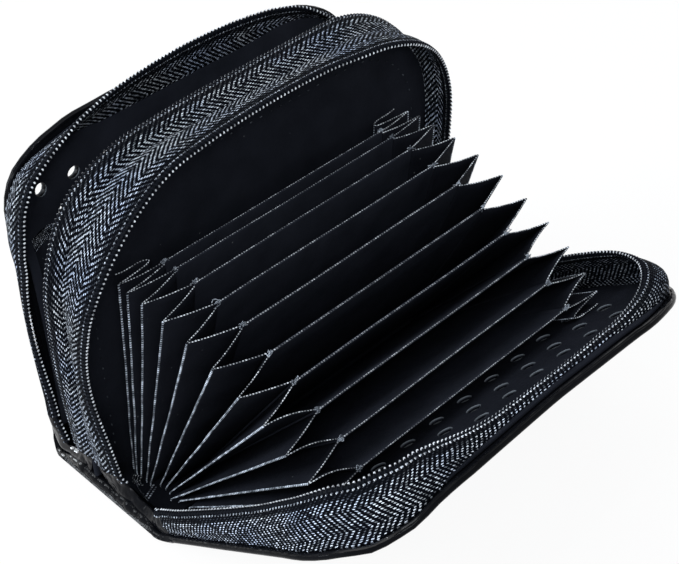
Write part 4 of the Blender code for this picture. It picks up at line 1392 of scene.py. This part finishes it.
def stage():
    """A pale floor and world that show white to the camera and keep the wallet's shadow."""
    look = Look("pale_floor")
    look.nodes.remove(look.shader)
    diffuse = look.out("BsdfDiffuse", (.93, .93, .93, 1))
    glow = look.out("Emission", (1, 1, 1, 1), 1.0)
    mixed = look.out("MixShader", look.times(look.seen(), .92), diffuse, glow)
    look.put(look.nodes["Material Output"], "Surface", mixed)
    mesh = bpy.data.meshes.new("floor")
    size, drop = 3.0, .0003
    mesh.from_pydata([(-size, -size, -drop), (size, -size, -drop), (size, size, -drop),
                      (-size, size, -drop)], [], [(0, 1, 2, 3)])
    mesh.materials.append(look.material)
    linked("floor", mesh)
    world = bpy.data.worlds.new("studio")
    bpy.context.scene.world = world
    world.use_nodes = True
    tree = Tree(world.node_tree)
    tree.nodes.clear()
    room = tree.out("Background", (.92, .96, 1.0, 1), .42)
    white = tree.out("Background", (1, 1, 1, 1), 1.0)
    tree.node("OutputWorld", tree.out("MixShader", tree.seen(), room, white))


def aimed(name, data, place, ahead):
    """A lamp or a camera at a place, looking ahead."""
    made = linked(name, data)
    made.location = place
    made.rotation_mode = "QUATERNION"
    made.rotation_quaternion = Vector(ahead).to_track_quat("-Z", "Y")
    return made


def lamps():
    """Soft square lamps and three small ones for glints, all turned to the wallet."""
    centre = Vector((.02, 0, .03))
    for name, place, side, watts, colour in (
            ("window", (-.50, -.62, .42), .45, 6.8, (.90, .95, 1.0)),
            ("front", (.57, -.52, .80), .35, 5.0, (.93, .96, 1.0)),
            ("sky", (-.10, .15, .85), .6, 1.6, (.95, .97, 1.0)),
            ("spark_left", (-.52, -.80, .26), .09, 1.5, (.88, .94, 1.0)),
            ("spark_right", (.30, -.72, .78), .05, .6, (.88, .94, 1.0)),
            ("spark_top", (.02, -.22, 1.0), .05, .6, (.88, .94, 1.0))):
        data = bpy.data.lights.new(name, "AREA")
        data.shape = "SQUARE"
        data.size = side
        data.energy = watts
        data.color = colour
        aimed(name, data, place, centre - Vector(place))


def camera():
    """The camera that the photo was taken with, as fitted to it."""
    data = bpy.data.cameras.new("photo_camera")
    data.lens, data.sensor_width = 77.39, 36.0
    data.clip_start, data.clip_end = .01, 20.0
    azimuth, elevation = math.radians(44.47), math.radians(40.98)
    level = math.cos(elevation)
    ahead = (-math.sin(azimuth) * level, math.cos(azimuth) * level, -math.sin(elevation))
    bpy.context.scene.camera = aimed("photo_camera", data, (.19154, -.1747, .2553), ahead)


def main():
    bpy.context.scene.view_settings.view_transform = "Standard"
    camera()
    stage()
    lamps()
    spine()
    cover("front", FRONT, 1, hole_rows(FRONT, 17.8, 1.2, 8.0), .12)
    cover("rear", REAR, -1, hole_rows(REAR, 15.2, 2.4, 6.4), .15)
    hinge_strip("front", FRONT, 1)
    hinge_strip("rear", REAR, -1)
    partition()
    zip_feet(zips())
    zip_end_details()
    dividers()
    gussets()
    cash_gussets()
    for word, x in (("card", 7.85), ("cash", -11.765)):
        slider(word, x)
        pull_tab(word, x)


main()
